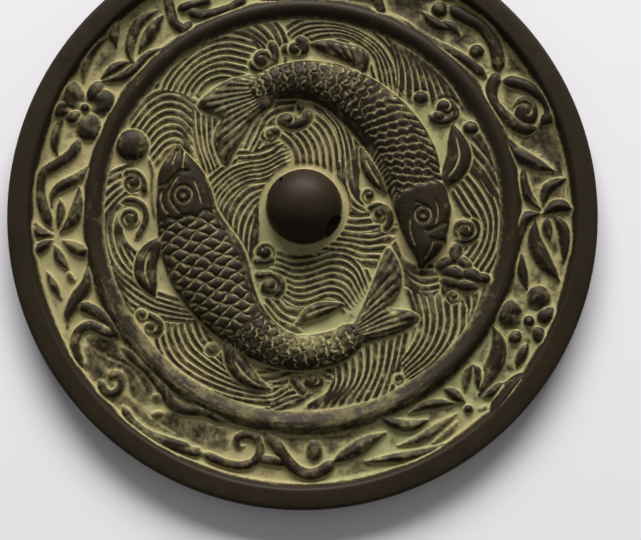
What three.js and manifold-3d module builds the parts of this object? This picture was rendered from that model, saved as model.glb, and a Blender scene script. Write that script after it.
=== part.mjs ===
// A round bronze mirror, cast in one piece and lying on its polished face.
// The upper side carries a plain rim, a border of flowers and leaves, a plain
// ring, and a field of waves in which two carp swim head to tail round a domed
// knob. The knob is pierced for a cord.
//
// Millimetres, +Z up. The origin is the centre of the mirror face. +X runs along
// the knob's cord hole. The carving is laid out in a drawing frame of its own,
// which is turned by CORD_TURN to bring the cord hole onto X.

import * as THREE from 'three';
import { mergeVertices } from 'three/addons/utils/BufferGeometryUtils.js';
import Module from 'manifold-3d';

const wasm = await Module();
wasm.setup();
const { Manifold, Mesh } = wasm;

// ---- driving dimensions -------------------------------------------------------

const CORD_TURN = THREE.MathUtils.degToRad(34);

const DISC_RADIUS = 75;
const DISC_SIDES = 60;
const EDGE_BEVEL = 1;
const RIM_TOP = 6;
const RIM_INNER = 69.4;
const RIM_FOOT = 68.2;
const GROUND = 3;            // plate thickness under border and field
const RING_TOP = 5;
const RING_OUTER_FOOT = 56;
const RING_OUTER = 55.2;
const RING_INNER = 52.3;
const RING_INNER_FOOT = 49.9;

const KNOB_CENTRE = [0.4, 1.7];
const KNOB_RADIUS = 9.75;
const KNOB_HEIGHT = 9;
const KNOB_SIDES = 24;
const KNOB_LEVELS = 5;
const HOLE_WIDTH = 7;
const HOLE_SILL = 0.2;       // height of the cord hole's floor over the ground
const HOLE_WALL = 2.6;       // upright part of its sides, under the arch
const HOLE_ARCH_STEPS = 7;

const FISH_HEIGHT = 2.7;
const FISH_STEP = 3.7;       // distance between rows of scales
const SCALE_STEP_UP = 0.35;
const FIN_HEIGHT = 1.7;
const WAVE_HEIGHT = 0.55;
const WAVE_HALF_WIDTH = 0.75;
const BOSS_SIDES = 7;
const PETAL_HEIGHT = 1.4;
const STEM_STEP = 3.8;       // length of one straight piece of a curved stem
const WAVE_STEP = 5.8;       // and of one of a wave's crest

// ---- from three.js geometry to solids and back ---------------------------------

function solidOf(geometry) {
  const bare = geometry.index ? geometry.toNonIndexed() : geometry.clone();
  bare.deleteAttribute('normal');
  bare.deleteAttribute('uv');
  const merged = mergeVertices(bare, 1e-5);
  const corners = merged.index.array;
  const kept = [];
  for (let i = 0; i < corners.length; i += 3) {
    const [a, b, c] = corners.slice(i, i + 3);
    if (a !== b && b !== c && c !== a) kept.push(a, b, c);
  }
  return new Manifold(new Mesh({
    numProp: 3,
    vertProperties: new Float32Array(merged.attributes.position.array),
    triVerts: new Uint32Array(kept),
  }));
}

function geometryOf(solid) {
  const mesh = solid.getMesh();
  const geometry = new THREE.BufferGeometry();
  geometry.setAttribute('position', new THREE.BufferAttribute(mesh.vertProperties, 3));
  geometry.setIndex(new THREE.BufferAttribute(mesh.triVerts, 1));
  geometry.computeVertexNormals();
  return geometry;
}

// A profile of [radius, height] pairs turned round Z.
function turned(profile, sides) {
  const points = profile.map(([r, z]) => new THREE.Vector2(r, z));
  return new THREE.LatheGeometry(points, sides).rotateX(Math.PI / 2);
}

// ---- curves ----------------------------------------------------------------------

// Evenly spaced stations on a smooth curve through the given points. Whatever
// follows x and y in a point, such as a half width, is carried along the curve.
function stations(points, count) {
  const curve = new THREE.CatmullRomCurve3(
    points.map(([x, y, extra = 0]) => new THREE.Vector3(x, y, extra)));
  const run = [];
  for (let i = 0; i <= count; i += 1) {
    const at = curve.getPointAt(i / count);
    const along = curve.getTangentAt(i / count);
    const length = Math.hypot(along.x, along.y);
    run.push({ x: at.x, y: at.y, extra: at.z, nx: -along.y / length, ny: along.x / length });
  }
  return run;
}

function lengthOf(points) {
  let total = 0;
  for (let i = 1; i < points.length; i += 1) {
    total += Math.hypot(points[i][0] - points[i - 1][0], points[i][1] - points[i - 1][1]);
  }
  return total;
}

// ---- carved forms -----------------------------------------------------------------

// A closed form lofted through one cross-section per station. A cross-section is a
// list of [offset across, height over the ground], from the right foot to the left.
function loft(run, sectionAt) {
  const rows = run.map((station, i) => sectionAt(station, i).map(([across, up]) => [
    station.x + station.nx * across, station.y + station.ny * across, GROUND + up]));
  const width = rows[0].length;
  const positions = [];
  const triangle = (a, b, c) => positions.push(...a, ...b, ...c);
  for (let i = 1; i < rows.length; i += 1) {
    for (let j = 0; j < width; j += 1) {
      const k = (j + 1) % width;
      triangle(rows[i - 1][j], rows[i][j], rows[i][k]);
      triangle(rows[i - 1][j], rows[i][k], rows[i - 1][k]);
    }
  }
  const last = rows[rows.length - 1];
  for (let j = 1; j + 1 < width; j += 1) {
    triangle(rows[0][0], rows[0][j], rows[0][j + 1]);
    triangle(last[0], last[j + 1], last[j]);
  }
  const geometry = new THREE.BufferGeometry();
  geometry.setAttribute('position', new THREE.Float32BufferAttribute(positions, 3));
  return solidOf(geometry);
}

// A keeled ridge. Half width and height follow the share of the way along it, from
// 0 to 1.
function ridge(points, count, halfWidthAt, heightAt) {
  const run = stations(points, count);
  return loft(run, (station, i) => {
    const half = halfWidthAt(i / count);
    return [[-half, 0], [0, heightAt(i / count)], [half, 0]];
  });
}

const swell = (share) => Math.sin(Math.PI * Math.min(Math.max(share, 0.03), 0.97)) ** 0.7;
const roundEnds = (share) => Math.min(1, 0.45 + 4 * Math.min(share, 1 - share));

function leaf([half, high, ...points]) {
  const count = lengthOf(points) > 11 ? 5 : 4;
  return ridge(points, count, (s) => half * swell(s), (s) => high * (0.4 + 0.6 * swell(s)));
}

function stem([half, high, ...points]) {
  const count = Math.max(3, Math.round(lengthOf(points) / STEM_STEP));
  return ridge(points, count, (s) => half * roundEnds(s), (s) => high * roundEnds(s));
}

function dome(x, y, alongX, alongY, high, turn = 0) {
  const shape = turned([[0, 0], [1, 0], [0.72, high * 0.75], [0, high]], BOSS_SIDES);
  shape.scale(alongX, alongY, 1).rotateZ(turn).translate(x, y, GROUND);
  return solidOf(shape);
}

// A blossom: a round heart and a petal for each [angle, distance, length, width].
function flower({ x, y, heart, petals }) {
  const forms = [dome(x, y, heart, heart, PETAL_HEIGHT * 0.85)];
  for (const [degrees, distance, long, wide] of petals) {
    const turn = THREE.MathUtils.degToRad(degrees);
    forms.push(dome(x + distance * Math.cos(turn), y + distance * Math.sin(turn),
      long, wide, PETAL_HEIGHT, turn));
  }
  return forms;
}

// Crests of water: ridges that pass evenly from a first guide line to a last one.
function waves([count, first, last]) {
  const carved = Math.max(2, Math.ceil(count / 2));
  const steps = Math.max(2, Math.round(lengthOf(first) / WAVE_STEP));
  const from = stations(first, steps);
  const to = stations(last, steps);
  const forms = [];
  for (let k = 0; k < carved; k += 1) {
    const share = k / (carved - 1);
    const line = from.map((a, i) => [a.x + (to[i].x - a.x) * share, a.y + (to[i].y - a.y) * share]);
    forms.push(ridge(line, steps, (s) => WAVE_HALF_WIDTH * roundEnds(s), (s) => WAVE_HEIGHT * roundEnds(s)));
  }
  return forms;
}

// The rounded flank of a fish, as shares of half width and of height.
const FLANK = [[1, 0], [0.82, 0.62], [0.3, 1], [-0.3, 1], [-0.82, 0.62], [-1, 0]];

// A fish lies along its spine of [x, y, half width]. Over the scaled stretch each
// row of scales stands a little over the next one, as overlapping plates do.
function fishBody(spine, scaledFrom, scaledTo) {
  const count = Math.round(lengthOf(spine) / FISH_STEP);
  const run = [];
  for (const [i, station] of stations(spine, count).entries()) {
    const share = i / count;
    const scaled = share > scaledFrom && share < scaledTo;
    run.push({ ...station, lift: scaled ? SCALE_STEP_UP : 0 });
    if (scaled) {
      const ahead = 0.35;
      run.push({ ...station, x: station.x + station.ny * ahead, y: station.y - station.nx * ahead, lift: 0 });
    }
  }
  return loft(run, (station) => {
    const high = FISH_HEIGHT * Math.min(1, 0.35 + station.extra / 7);
    return FLANK.toReversed().map(([across, up]) => [
      station.extra * across, up === 0 ? 0 : high * up + station.lift * up]);
  });
}

function fin(spine) {
  return loft(stations(spine, 4), (station) => {
    const high = FIN_HEIGHT * Math.min(1, 0.45 + station.extra / 4);
    return [[-1, 0], [-0.7, high * 0.8], [0, high], [0.7, high * 0.8], [1, 0]]
      .map(([across, up]) => [station.extra * across, up]);
  });
}

// ---- the drawing: border ------------------------------------------------------

// Leaves and petals: half width, height, then points from root to tip.
const LEAVES = [
  [1.3, 1.2, [-37.6, 52.8], [-42.2, 49.2], [-44.2, 44.5], [-44.4, 41.2], [-43, 38.4]],
  [1.6, 1.3, [-36, 51.4], [-38.6, 47.6], [-40.8, 44.2], [-42, 42]],
  [1.2, 1.2, [-35.3, 43], [-39.6, 41], [-42.6, 37.8], [-46.3, 35.4], [-51.5, 34.2]],
  [1, 1.1, [-44.3, 39.4], [-48, 37.8], [-51.6, 35]],
  [1.2, 1.2, [-50, 45.6], [-53.7, 42.8], [-55.6, 38.8], [-56.2, 34.2]],
  [1.6, 1.3, [-47.6, 54], [-48.8, 48.4], [-48, 43.4]],
  [1, 1.1, [-61.2, 25.2], [-62.9, 21], [-63.3, 17.4], [-62.5, 15]],
  [1.3, 1.2, [-53.6, 12.9], [-57, 9.4], [-61, 7.2], [-63.4, 5.2], [-63.9, 2]],
  [1.8, 1.4, [-57, 6.8], [-56.9, 2.6], [-58.4, -1.6], [-61.5, -4.6]],
  [0.9, 1.1, [-61.8, 3.8], [-61.5, 0.6], [-62.2, -3.6]],
  [1.5, 1.2, [-70, 0], [-69, -3.2], [-66.6, -5], [-63.6, -5.4]],
  [1.3, 1.2, [-69.6, -9.8], [-66.6, -8.8], [-63.6, -6.8]],
  [1.6, 1.3, [-60.8, -7], [-57, -9.2], [-54, -9.6], [-51.6, -9.2]],
  [1.1, 1.2, [-63, -8.2], [-61.6, -11.4], [-59.4, -14.2]],
  [0.8, 1, [-64.9, -14.8], [-63.2, -18.2], [-61, -21.8]],
  [0.5, 0.8, [-59.6, -14.8], [-58.8, -16.4], [-57.6, -17.2]],
  [1.9, 1.3, [-54.4, -13], [-54.6, -17.6], [-57, -21.6], [-59.2, -25.6], [-59.4, -28.8]],
  [1.2, 1.3, [56.4, 12.2], [56.2, 8], [57.2, 4.8], [60.4, 1.2]],
  [1.2, 1.3, [61.2, 2.2], [62.4, 6.2], [67, 9]],
  [1.4, 1.4, [61.2, 0], [65, 2], [69.2, 1]],
  [1.8, 1.5, [60.2, 0], [56.4, -1.4], [54.8, -4.8], [55, -8.6]],
  [1, 1.2, [62.2, -1], [62.2, -4], [62.8, -6.6]],
  [2, 1.5, [59.2, -1.6], [58.9, -6], [60.6, -11], [65, -17]],
  [1.5, 1.3, [64, -0.6], [66.6, -4.6], [66.9, -9], [66.2, -12.4]],
  [1, 1.2, [55.6, -10.2], [55.6, -14.2], [56.9, -19.2]],
  [1.8, 1.4, [51.2, 20.6], [54, 16], [58.6, 13.2], [64, 11]],
  [0.9, 1.1, [26.8, -50.6], [31, -48.8], [35, -48.2], [38.8, -48.2]],
  [1.2, 1.2, [36, -44.6], [38.2, -46], [40.8, -47.8]],
  [0.8, 1.2, [42.9, -38.4], [41.6, -41], [41, -45.2]],
  [0.8, 1.2, [43.1, -38.4], [44.4, -40.6], [44.3, -44.4]],
  [2.1, 1.5, [48.2, -28.8], [49.6, -33.2], [48.9, -37.4], [47, -41], [44.6, -46]],
  [0.9, 1.1, [45.6, -46.6], [48.2, -45.2], [51, -43]],
  [1.1, 1.2, [56.9, -33.2], [55.3, -36.2], [54.2, -39]],
  [1.2, 0.8, [38.8, -50.8], [34.8, -54], [29.4, -57.2], [24, -58.8]],
  [0.7, 0.6, [39.4, -52.6], [36.6, -55.6], [32.6, -58.2]],
  [0.6, 0.6, [44.4, -49.6], [48.8, -49.6]],
  [1.7, 1.4, [7.4, -63], [12, -60.6], [16.4, -58], [20.8, -55.6]],
  [1.1, 1.2, [16, -62.8], [22, -62], [28, -61.3], [33.4, -59.8], [37.2, -57.6]],
  [1.4, 1.3, [19.2, -51.6], [23.6, -53.4], [28, -53.8], [31.6, -52.4]],
  [1, 1, [30.6, 52.4], [33.8, 49.4], [38.4, 47.6]],
  [0.9, 0.9, [36, 49.8], [38.6, 48.2], [40.4, 46.4]],
  [1, 1.2, [-11, 56.2], [-6, 55.2], [-1.4, 56]],
  [1.4, 1.2, [-5.4, 61], [-9.4, 59.8], [-13.4, 60.6], [-17.4, 63]],
  [1.2, 1.2, [-17.6, 57.6], [-22.4, 58.8], [-29.4, 57.6]],
  [1.4, 1.2, [11, 61.6], [14.8, 60.8], [19.2, 62], [23.4, 60]],
  [1.2, 1.2, [24, 56.2], [28.2, 57.8], [33.8, 56.2]],
  // a swelling of the rim
  [1.9, 2.6, [57.4, -39.6], [53, -43.8], [50, -47.8], [45.8, -53]],
];

// Stems and rolled edges: half width, height, then points along them.
const STEMS = [
  [0.9, 1.1, [-34.8, 57], [-34, 52.4], [-32.6, 49], [-30.2, 47.9], [-28.8, 49.6]],
  [1, 1.1, [-56.8, 19.4], [-58.8, 15.6], [-62.6, 12.8], [-66.2, 10.2], [-66.9, 6], [-66, 1.6],
   [-63.8, -3.8]],
  [1.1, 1.1, [-56.4, -23.2], [-51.6, -25.6], [-48.4, -28.2], [-46.4, -31.4]],
  [0.9, 1, [-46.8, -31.2], [-50.4, -29.8], [-53.8, -28.5], [-56.6, -30.2], [-57.4, -34.4],
   [-55.8, -38.8]],
  [1, 1.1, [-45.4, -34.2], [-38.8, -39.6], [-35.2, -44.4], [-33, -48], [-29.4, -49.8], [-24.4, -50.2],
   [-18.6, -53.2]],
  [0.8, 1, [-45.2, -49.2], [-43.6, -52.2], [-40, -55.4], [-34, -57.8], [-27.6, -59.6]],
  [1.1, 1.2, [-9.6, -55.2], [-6.6, -58.6], [-4.4, -61.8], [-1.4, -64.8], [2, -66], [5.2, -65],
   [8.2, -62.6]],
  [1.4, 1.3, [37.8, 53.4], [42.2, 50.8], [46, 48.6], [48.8, 44.6], [50, 40.6], [50.2, 36.8]],
  [0.8, 0.9, [25.4, 50.4], [28.4, 46.9], [33, 44.3], [38, 41.9], [43, 38.9], [47.2, 35.2]],
  [0.9, 1.1, [9.4, 58.4], [14.6, 57.6], [18.8, 56], [20.4, 51.2]],
  [0.8, 0.9, [-10.4, -62.2], [-4.6, -63]],
  [0.9, 1.1, [-14.6, 55.8], [-19.6, 52.9], [-26, 51.6], [-29.6, 52.4]],
  [0.8, 1.1, [-24, 55.4], [-28.4, 54.2], [-31.8, 53.2]],
  [1.2, 1.2, [50.2, 36.4], [48.6, 33], [48.4, 29.4], [50.4, 26.4], [53.2, 23.9], [56.4, 21.9],
   [59.4, 22]],
  [1.2, 1.2, [51.6, 34.4], [55.6, 33.6], [60, 31.4], [62.9, 28.4], [63.2, 25.4], [61.2, 23.2]],
];

const FLOWERS = [
  {
    x: -57.0, y: 27.8, heart: 1.4,
    petals: [[126, 5.0, 3.2, 2.4], [52, 5.2, 2.8, 2.6], [2, 5.4, 2.8, 2.4],
      [292, 5.4, 3.2, 3.0], [178, 5.4, 3.0, 2.2], [232, 3.4, 1.6, 1.4]],
  },
  {
    x: 57.3, y: -27.4, heart: 1.5,
    petals: [[67, 6.4, 2.9, 2.8], [158, 5.2, 3.0, 3.2], [229, 5.4, 1.7, 1.5],
      [307, 5.0, 2.6, 1.8], [15, 5.2, 2.8, 2.0]],
  },
  {
    x: 3.0, y: 61.9, heart: 1.4,
    petals: [[90, 4.2, 2.2, 2.2], [162, 4.6, 2.6, 2.2], [234, 4.2, 2.4, 2.0],
      [306, 4.2, 2.4, 2.0], [18, 4.6, 2.6, 2.2]],
  },
];

// ---- the drawing: field -------------------------------------------------------

// Curled crests and spirals: half width, height, then points along them.
const CURLS = [
  [0.8, 1.1, [-45.6, 10.4], [-42.8, 10.6], [-40.8, 8.6], [-40.2, 5]],
  [0.7, 1, [-46.4, 3], [-43.4, 3.6], [-40.6, 2], [-39.8, -1.2], [-41.2, -4.6], [-42.6, -6.6]],
  [1, 1.2, [-13.4, 39.6], [-12.2, 38], [-9.8, 37.6], [-7.6, 39.4], [-7.2, 42], [-8.4, 44.6]],
  [1.1, 1.2, [-5.2, 42.6], [-2.6, 42.6], [0.2, 42.4], [0.4, 44.2], [-1.6, 45.2]],
  [1.2, 1.2, [-5, 23.8], [-2.4, 23], [0.4, 24], [1.8, 26.4]],
  [0.9, 1.1, [-10, 19.8], [-8.2, 21.6], [-6.2, 21]],
  [0.8, 1.1, [-7.8, -15.8], [-5.6, -17], [-5.4, -19.4], [-7, -21]],
  [0.8, 1, [-12, -12.1], [-9.4, -12.3], [-7.6, -11.6]],
  [0.8, 1, [-11.6, -15.6], [-9.4, -15.8], [-7.8, -15.6]],
  [0.8, 1.1, [16.6, 1.6], [19.6, 2], [21.8, 0.6], [22.2, -2], [20.8, -4.2]],
  [0.9, 1.2, [39, -6.6], [41.4, -6.8], [43.8, -5.4], [44, -2.8], [42.8, -1.6]],
  [1.2, 1.2, [36.6, -9.4], [39, -10.4], [41, -12.6]],
  [1.3, 1.3, [35.6, -13.8], [37.6, -13.6], [38.8, -16.2], [42, -17.4], [46.4, -16.6]],
  [0.8, 1.1, [36.2, -20.2], [36.2, -17.8]],
  [0.8, 1, [34.2, 28], [37.8, 28.4], [39.2, 25.8], [37, 24], [34, 24], [32.4, 25.6]],
  [0.8, 1, [-2.6, -41.8], [-1.4, -43.4], [0.4, -45.4]],
  [0.8, 1, [-41.6, -25.6], [-38.4, -26.2], [-36, -28.2], [-36.6, -30.2], [-38.2, -29.8]],
  [1, 1.1, [-25.6, -60.4], [-20.4, -62.8], [-15.8, -63.8], [-12.2, -62.8], [-10.6, -60], [-11.4, -57.2],
   [-14, -56], [-16.3, -57], [-16, -59], [-14.6, -58.8]],
  [0.9, 0.9, [-51.2, -42.6], [-49.6, -45.4], [-47.2, -45.7], [-45.6, -43.6], [-46, -41.4], [-47.8, -41],
   [-48.6, -42.2]],
];

// Bosses and drops of foam: x, y, half length along x and along y, height.
const BOSSES = [
  [-43.6, 17.6, 4.6, 4.4, 2],
  [-56.4, 27.4, 1.4, 1.4, 1.2],
  [57.3, -27.4, 1.5, 1.5, 1.1],
  [41.8, -49.6, 1.4, 1.3, 1.1],
  [35.2, 53, 2.1, 2, 1.3],
  [44.7, 42, 1.9, 1.8, 1.3],
  [57, 26.2, 3.6, 3.4, 1.5],
  [-36.5, -46.8, 1.3, 1.2, 0.7],
  [-36.4, -50.9, 1.6, 0.9, 0.7],
  [3, -60.2, 2, 2.6, 1.2],
  [-44.2, 7.6, 1.8, 1.8, 1.1],
  [-43.9, -1.6, 2.3, 2.4, 1.3],
  [-11, 41.9, 1.9, 1.6, 1.2],
  [-9.8, -9.6, 2.2, 1.9, 1.1],
  [-8.7, -18.7, 2.1, 1.8, 1.1],
  [16.4, 4.4, 1.7, 1.7, 1.1],
  [18.6, -0.9, 1.8, 1.8, 1.2],
  [40.8, -3.2, 1.7, 1.7, 1.1],
  [38.2, -21, 2, 1.9, 1],
  [3.2, -43.4, 2.6, 2, 1.2],
  [24.6, -42, 1.3, 1.3, 0.8],
  [43.6, 21.8, 2, 1.6, 1.1],
  [30.6, 29.2, 1.8, 1.3, 1],
  [-23, -34.2, 1.8, 1.6, 0.8],
];

// Groups of waves: number of crests, the first crest's points, the last one's.
const WAVES = [
  [7, [[-42.8, 23.4], [-39.6, 27.6], [-35.4, 30.1], [-31.4, 29.7], [-28.6, 27.8]], [[-37, 15.8],
   [-35.2, 17.8], [-32.8, 18.9], [-30.4, 17.6], [-29.3, 15.2]]],
  [6, [[-13, 44.4], [-19, 45.7], [-25, 44], [-30.6, 40], [-34.6, 35.2], [-36.2, 31.4]], [[-17, 36.4],
   [-21, 37], [-25, 35.6], [-27.8, 32.6], [-29, 29.8]]],
  [4, [[-18, 47.6], [-13.6, 46.2], [-10.4, 43.9], [-8.9, 41.4]], [[-8.8, 49.4], [-6.8, 46.6],
   [-5.8, 43.4], [-6, 40.6]]],
  [4, [[-3.6, 46.8], [0, 49], [7, 49.4], [14, 47.5], [19.6, 43.6], [22.8, 38.2], [23.6, 33.6]],
   [[1.2, 45.2], [5, 46.2], [10, 46.4], [14.6, 44.4], [18.3, 41], [19.4, 37.6], [19.9, 35.2]]],
  [7, [[23.4, 44.2], [25, 39.4], [25.5, 35], [25.3, 32.2]], [[33.6, 37.2], [35.5, 33.8], [36.9, 30.9]]],
  [6, [[-4.2, 21.4], [-1.6, 19], [0, 16.2], [0.3, 13.6]], [[2.6, 26], [6.3, 22.4], [8.3, 18],
   [8.8, 13.2]]],
  [3, [[4.6, 26.8], [8.2, 23], [10, 17.4], [10.4, 11], [11, 6], [13.2, 2.4], [16, 0.8]], [[7.6, 26.4],
   [10.9, 22.2], [12.6, 17], [13.2, 11.4], [13.6, 7.4], [14.3, 5]]],
  [2, [[-13.4, 16.2], [-11.4, 20.2], [-9.4, 24.4], [-6.2, 26.7], [-2.4, 27.4]], [[-11.6, 17.2],
   [-9.6, 21], [-7.4, 24.2], [-4.6, 24.9]]],
  [5, [[-6, 15.6], [-9.6, 13.7], [-14, 13], [-18, 11.6], [-21.4, 9], [-24, 6.4]], [[-5.6, 11.2],
   [-9.6, 9], [-13.6, 8.4], [-17, 6.7], [-19.8, 3.4], [-21, 0.4]]],
  [2, [[-15.8, 15.9], [-12, 16.3], [-8.6, 17.6]], [[-16.2, 14.5], [-12, 14.7], [-8, 15.6], [-6.4, 17]]],
  [5, [[-9, 7.4], [-13, 6.4], [-16.4, 3.4], [-18.2, -0.6], [-18.5, -4.2]], [[-11.3, 0.8], [-12.2, -3],
   [-12.8, -6], [-13, -9.2]]],
  [3, [[10.6, 0.6], [13.6, 0], [16.4, 0.2]], [[10, -3.2], [14, -3.7], [17.6, -3.4]]],
  [4, [[9.3, -4.9], [14, -5.5], [18.6, -5.7], [21.6, -4.5]], [[6.8, -9], [11.4, -9.4], [15, -10.8],
   [18.4, -11]]],
  [7, [[-6.6, -11.4], [-2, -13], [3, -12.3], [7, -10.8], [11, -10.8], [14, -13.2], [15.8, -17.2]],
   [[-4.4, -21.2], [-1, -22.7], [3, -22], [6.5, -20.8], [9.2, -21.2], [10.4, -22.4]]],
  [2, [[-6.6, -22], [-4, -24.5], [-0.8, -25.1]], [[-7.6, -23.4], [-5, -26.2], [-2.2, -27.4]]],
  [4, [[-45.4, 10.4], [-47.6, 9.4], [-49.4, 8.2]], [[-45.6, 4.8], [-47.6, 2.8], [-49.6, 0.2]]],
  [3, [[-43.8, 4.2], [-47.4, 1.6], [-48.9, -3], [-48.2, -8.4], [-45.8, -13], [-42.8, -16]],
   [[-46.3, -3.2], [-46, -6.2], [-44.5, -9.4], [-42.7, -12.2]]],
  [4, [[-48.4, -13], [-45, -16.2], [-41, -19.2], [-38, -21.2], [-33, -22.9], [-29.6, -23.8]],
   [[-47, -18.6], [-44.4, -22.2], [-40, -25], [-34, -26.6], [-29, -27.2]]],
  [6, [[-35.4, -27.6], [-35.2, -32], [-32.4, -37.4], [-27, -41.4], [-20, -44.5], [-13, -46.4],
   [-8, -46.6], [-3.6, -44.4]], [[-27.4, -27.4], [-25.6, -31.6], [-21.6, -36.2], [-18.4, -39.4],
   [-15, -42.2]]],
  [5, [[-9, -41.6], [-6, -41.4], [-3, -40.6], [1, -40.3], [5.4, -41.2]], [[-7.4, -48.7], [-3.4, -47.2],
   [-0.4, -46.4]]],
  [9, [[6.6, -40], [8.3, -41.8], [8.6, -44.2], [7.2, -46.4], [4.4, -48.2]], [[23.6, -33.8], [22.8, -38],
   [21.8, -42], [20.4, -46]]],
  [7, [[40.8, -24.4], [40.3, -30], [37.4, -35.2], [33.4, -39.2], [28.4, -42.2]], [[28.4, -20.4],
   [29.7, -24.6], [29.9, -29], [28.2, -33.4], [24.8, -37.8]]],
  [3, [[23.6, -9], [25.6, -12.8], [29.2, -15.2], [33.4, -15]], [[25.6, -15.8], [28.2, -18.3],
   [31.4, -19.2], [34.6, -18.4]]],
  [3, [[44.6, 18.6], [47, 15.6], [48.4, 13]], [[43.4, 13.6], [46.4, 10], [49, 5.6]]],
  [4, [[43, 11.2], [46.2, 7.2], [48.8, 1.6], [49.2, -4.2], [48, -9.6], [45.4, -14]], [[39.8, 6],
   [42, 2.4], [44.3, -1], [45.2, -4], [44, -7.6], [41.4, -11.2]]],
  [3, [[46.8, -17.6], [45.8, -21.2], [43.8, -25.2], [42, -28]], [[41, -20], [42.2, -23.2],
   [41.8, -26.4]]],
  [2, [[-27.2, 27], [-27, 22], [-26, 17], [-25, 13]], [[-24.7, 24.4], [-24.2, 20], [-23.6, 16],
   [-22.6, 12.6]]],
];

// Spines of the fishes, from tail root to nose: x, y, half width of the body.
const UPPER_FISH = [[-11.5, 32.3, 3.7], [-5, 34, 4.7], [2, 34.4, 5.4], [9, 32.3, 6.3], [16, 27.7, 7.3], [22, 21.5, 8],
   [26.2, 14.5, 8.2], [28.5, 8, 7.4], [30.4, 2, 7.2], [31.1, -4, 6.2], [31, -9, 4.2], [30.2, -13, 1.2]];
const LOWER_FISH = [[14.2, -30.9, 3.7], [10, -33.4, 4.5], [4, -35.1, 4.6], [-3, -35.2, 4.8], [-10, -32.2, 5.7],
   [-16.2, -26.8, 7.2], [-20.6, -20.5, 9], [-23.9, -13.8, 10.4], [-27, -7.5, 9.6], [-29.2, -1, 8.1],
   [-30.2, 5, 7.2], [-31.4, 11, 5.5], [-31.7, 14.4, 3.2], [-31.7, 17, 0.8]];

// Fins and tail lobes, from root to tip: x, y, half width.
const FINS = [
  [[-11.5, 32.4, 3.2], [-16, 32.2, 2.8], [-20.6, 31, 2.4], [-24.2, 29.2, 1.6], [-27, 27.4, 0.4]],
  [[-12, 30.6, 4.2], [-15.4, 26.2, 4.2], [-17.9, 21, 3.8], [-19.2, 16.6, 2.6], [-19.8, 12, 0.4]],
  [[12.6, -28.6, 3.6], [16, -23.6, 3.6], [18.8, -18.4, 3.8], [21.2, -13.6, 3], [22.8, -8.4, 0.4]],
  [[13.6, -31, 3.2], [18.4, -29.4, 3.6], [23, -28.2, 3.6], [27, -27.4, 2.8], [30.4, -26.8, 0.4]],
  [[1, 42.4, 0.8], [6.2, 43.4, 2.4], [11, 42.4, 4], [14.8, 40.2, 4.2], [17, 37.2, 2.4]],
  [[33, 7.4, 1.4], [37.6, 10, 2.8], [39.9, 14.6, 3.4], [39.3, 19, 2.4], [38.3, 23, 0.4]],
  [[-35.6, -7, 1.6], [-39, -10.6, 2.8], [-39.8, -15, 3], [-38.6, -18.6, 2], [-37.4, -21, 0.4]],
  [[-18.6, -34, 1.6], [-17, -37.6, 2.6], [-14.6, -40.8, 2.6], [-11.6, -43.2, 1.8], [-8, -44.6, 0.3]],
  [[-1.4, -28, 0.5], [1.8, -25.6, 1.9], [5.6, -24.2, 1.9], [10.2, -23.2, 0.4]],
  [[15, 16.6, 0.6], [16.6, 12.6, 1.9], [18.6, 9, 2], [21, 5.6, 0.5]],
];

// Gill covers and mouths, raised over the heads: half width, height, points.
const HEAD_LINES = [
  [0.6, 3.2, [25.2, 1.6], [28.6, 3.8], [32.8, 3.6], [36.4, 1.2]],
  [0.6, 3.2, [-36.8, -1.2], [-33.4, 0.6], [-28.0, 0.8], [-22.8, -0.6]],
  [0.5, 3.1, [28.4, -9.4], [30.2, -10.4], [32.6, -9.8]],
  [0.5, 3.1, [-33.8, 12.6], [-31.6, 13.6], [-29.6, 12.8]],
];
const EYES = [[30.4, -0.6, 1.5], [-30.5, 4.5, 1.5]];
const EYE_HEIGHT = 3.3;

// ---- the casting --------------------------------------------------------------

function plate() {
  return solidOf(turned([
    [0, 0], [DISC_RADIUS - EDGE_BEVEL, 0], [DISC_RADIUS, EDGE_BEVEL],
    [DISC_RADIUS, RIM_TOP - EDGE_BEVEL], [DISC_RADIUS - EDGE_BEVEL, RIM_TOP],
    [RIM_INNER, RIM_TOP], [RIM_FOOT, GROUND], [RING_OUTER_FOOT, GROUND],
    [RING_OUTER, RING_TOP], [RING_INNER, RING_TOP], [RING_INNER_FOOT, GROUND], [0, GROUND],
  ], DISC_SIDES));
}

function knob() {
  const profile = [[0, 0], [KNOB_RADIUS, 0]];
  for (let level = 0; level <= KNOB_LEVELS; level += 1) {
    const rise = (level / KNOB_LEVELS) * (Math.PI / 2);
    profile.push([level === KNOB_LEVELS ? 0 : KNOB_RADIUS * Math.cos(rise), KNOB_HEIGHT * Math.sin(rise)]);
  }
  const [x, y] = KNOB_CENTRE;
  return solidOf(turned(profile, KNOB_SIDES).translate(x, y, GROUND));
}

// An arched bar, longer than the knob is wide, that leaves the hole for the cord.
function cordHole() {
  const half = HOLE_WIDTH / 2;
  const mouth = new THREE.Shape();
  mouth.moveTo(-half, HOLE_SILL);
  mouth.lineTo(half, HOLE_SILL);
  mouth.lineTo(half, HOLE_SILL + HOLE_WALL);
  mouth.absarc(0, HOLE_SILL + HOLE_WALL, half, 0, Math.PI);
  mouth.closePath();
  const depth = 2 * KNOB_RADIUS + 2;
  const bar = new THREE.ExtrudeGeometry(mouth, { depth, bevelEnabled: false, curveSegments: HOLE_ARCH_STEPS });
  bar.translate(0, 0, -depth / 2).rotateX(Math.PI / 2).rotateZ(Math.PI / 2 - CORD_TURN);
  const [x, y] = KNOB_CENTRE;
  return solidOf(bar.translate(x, y, GROUND));
}

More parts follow.
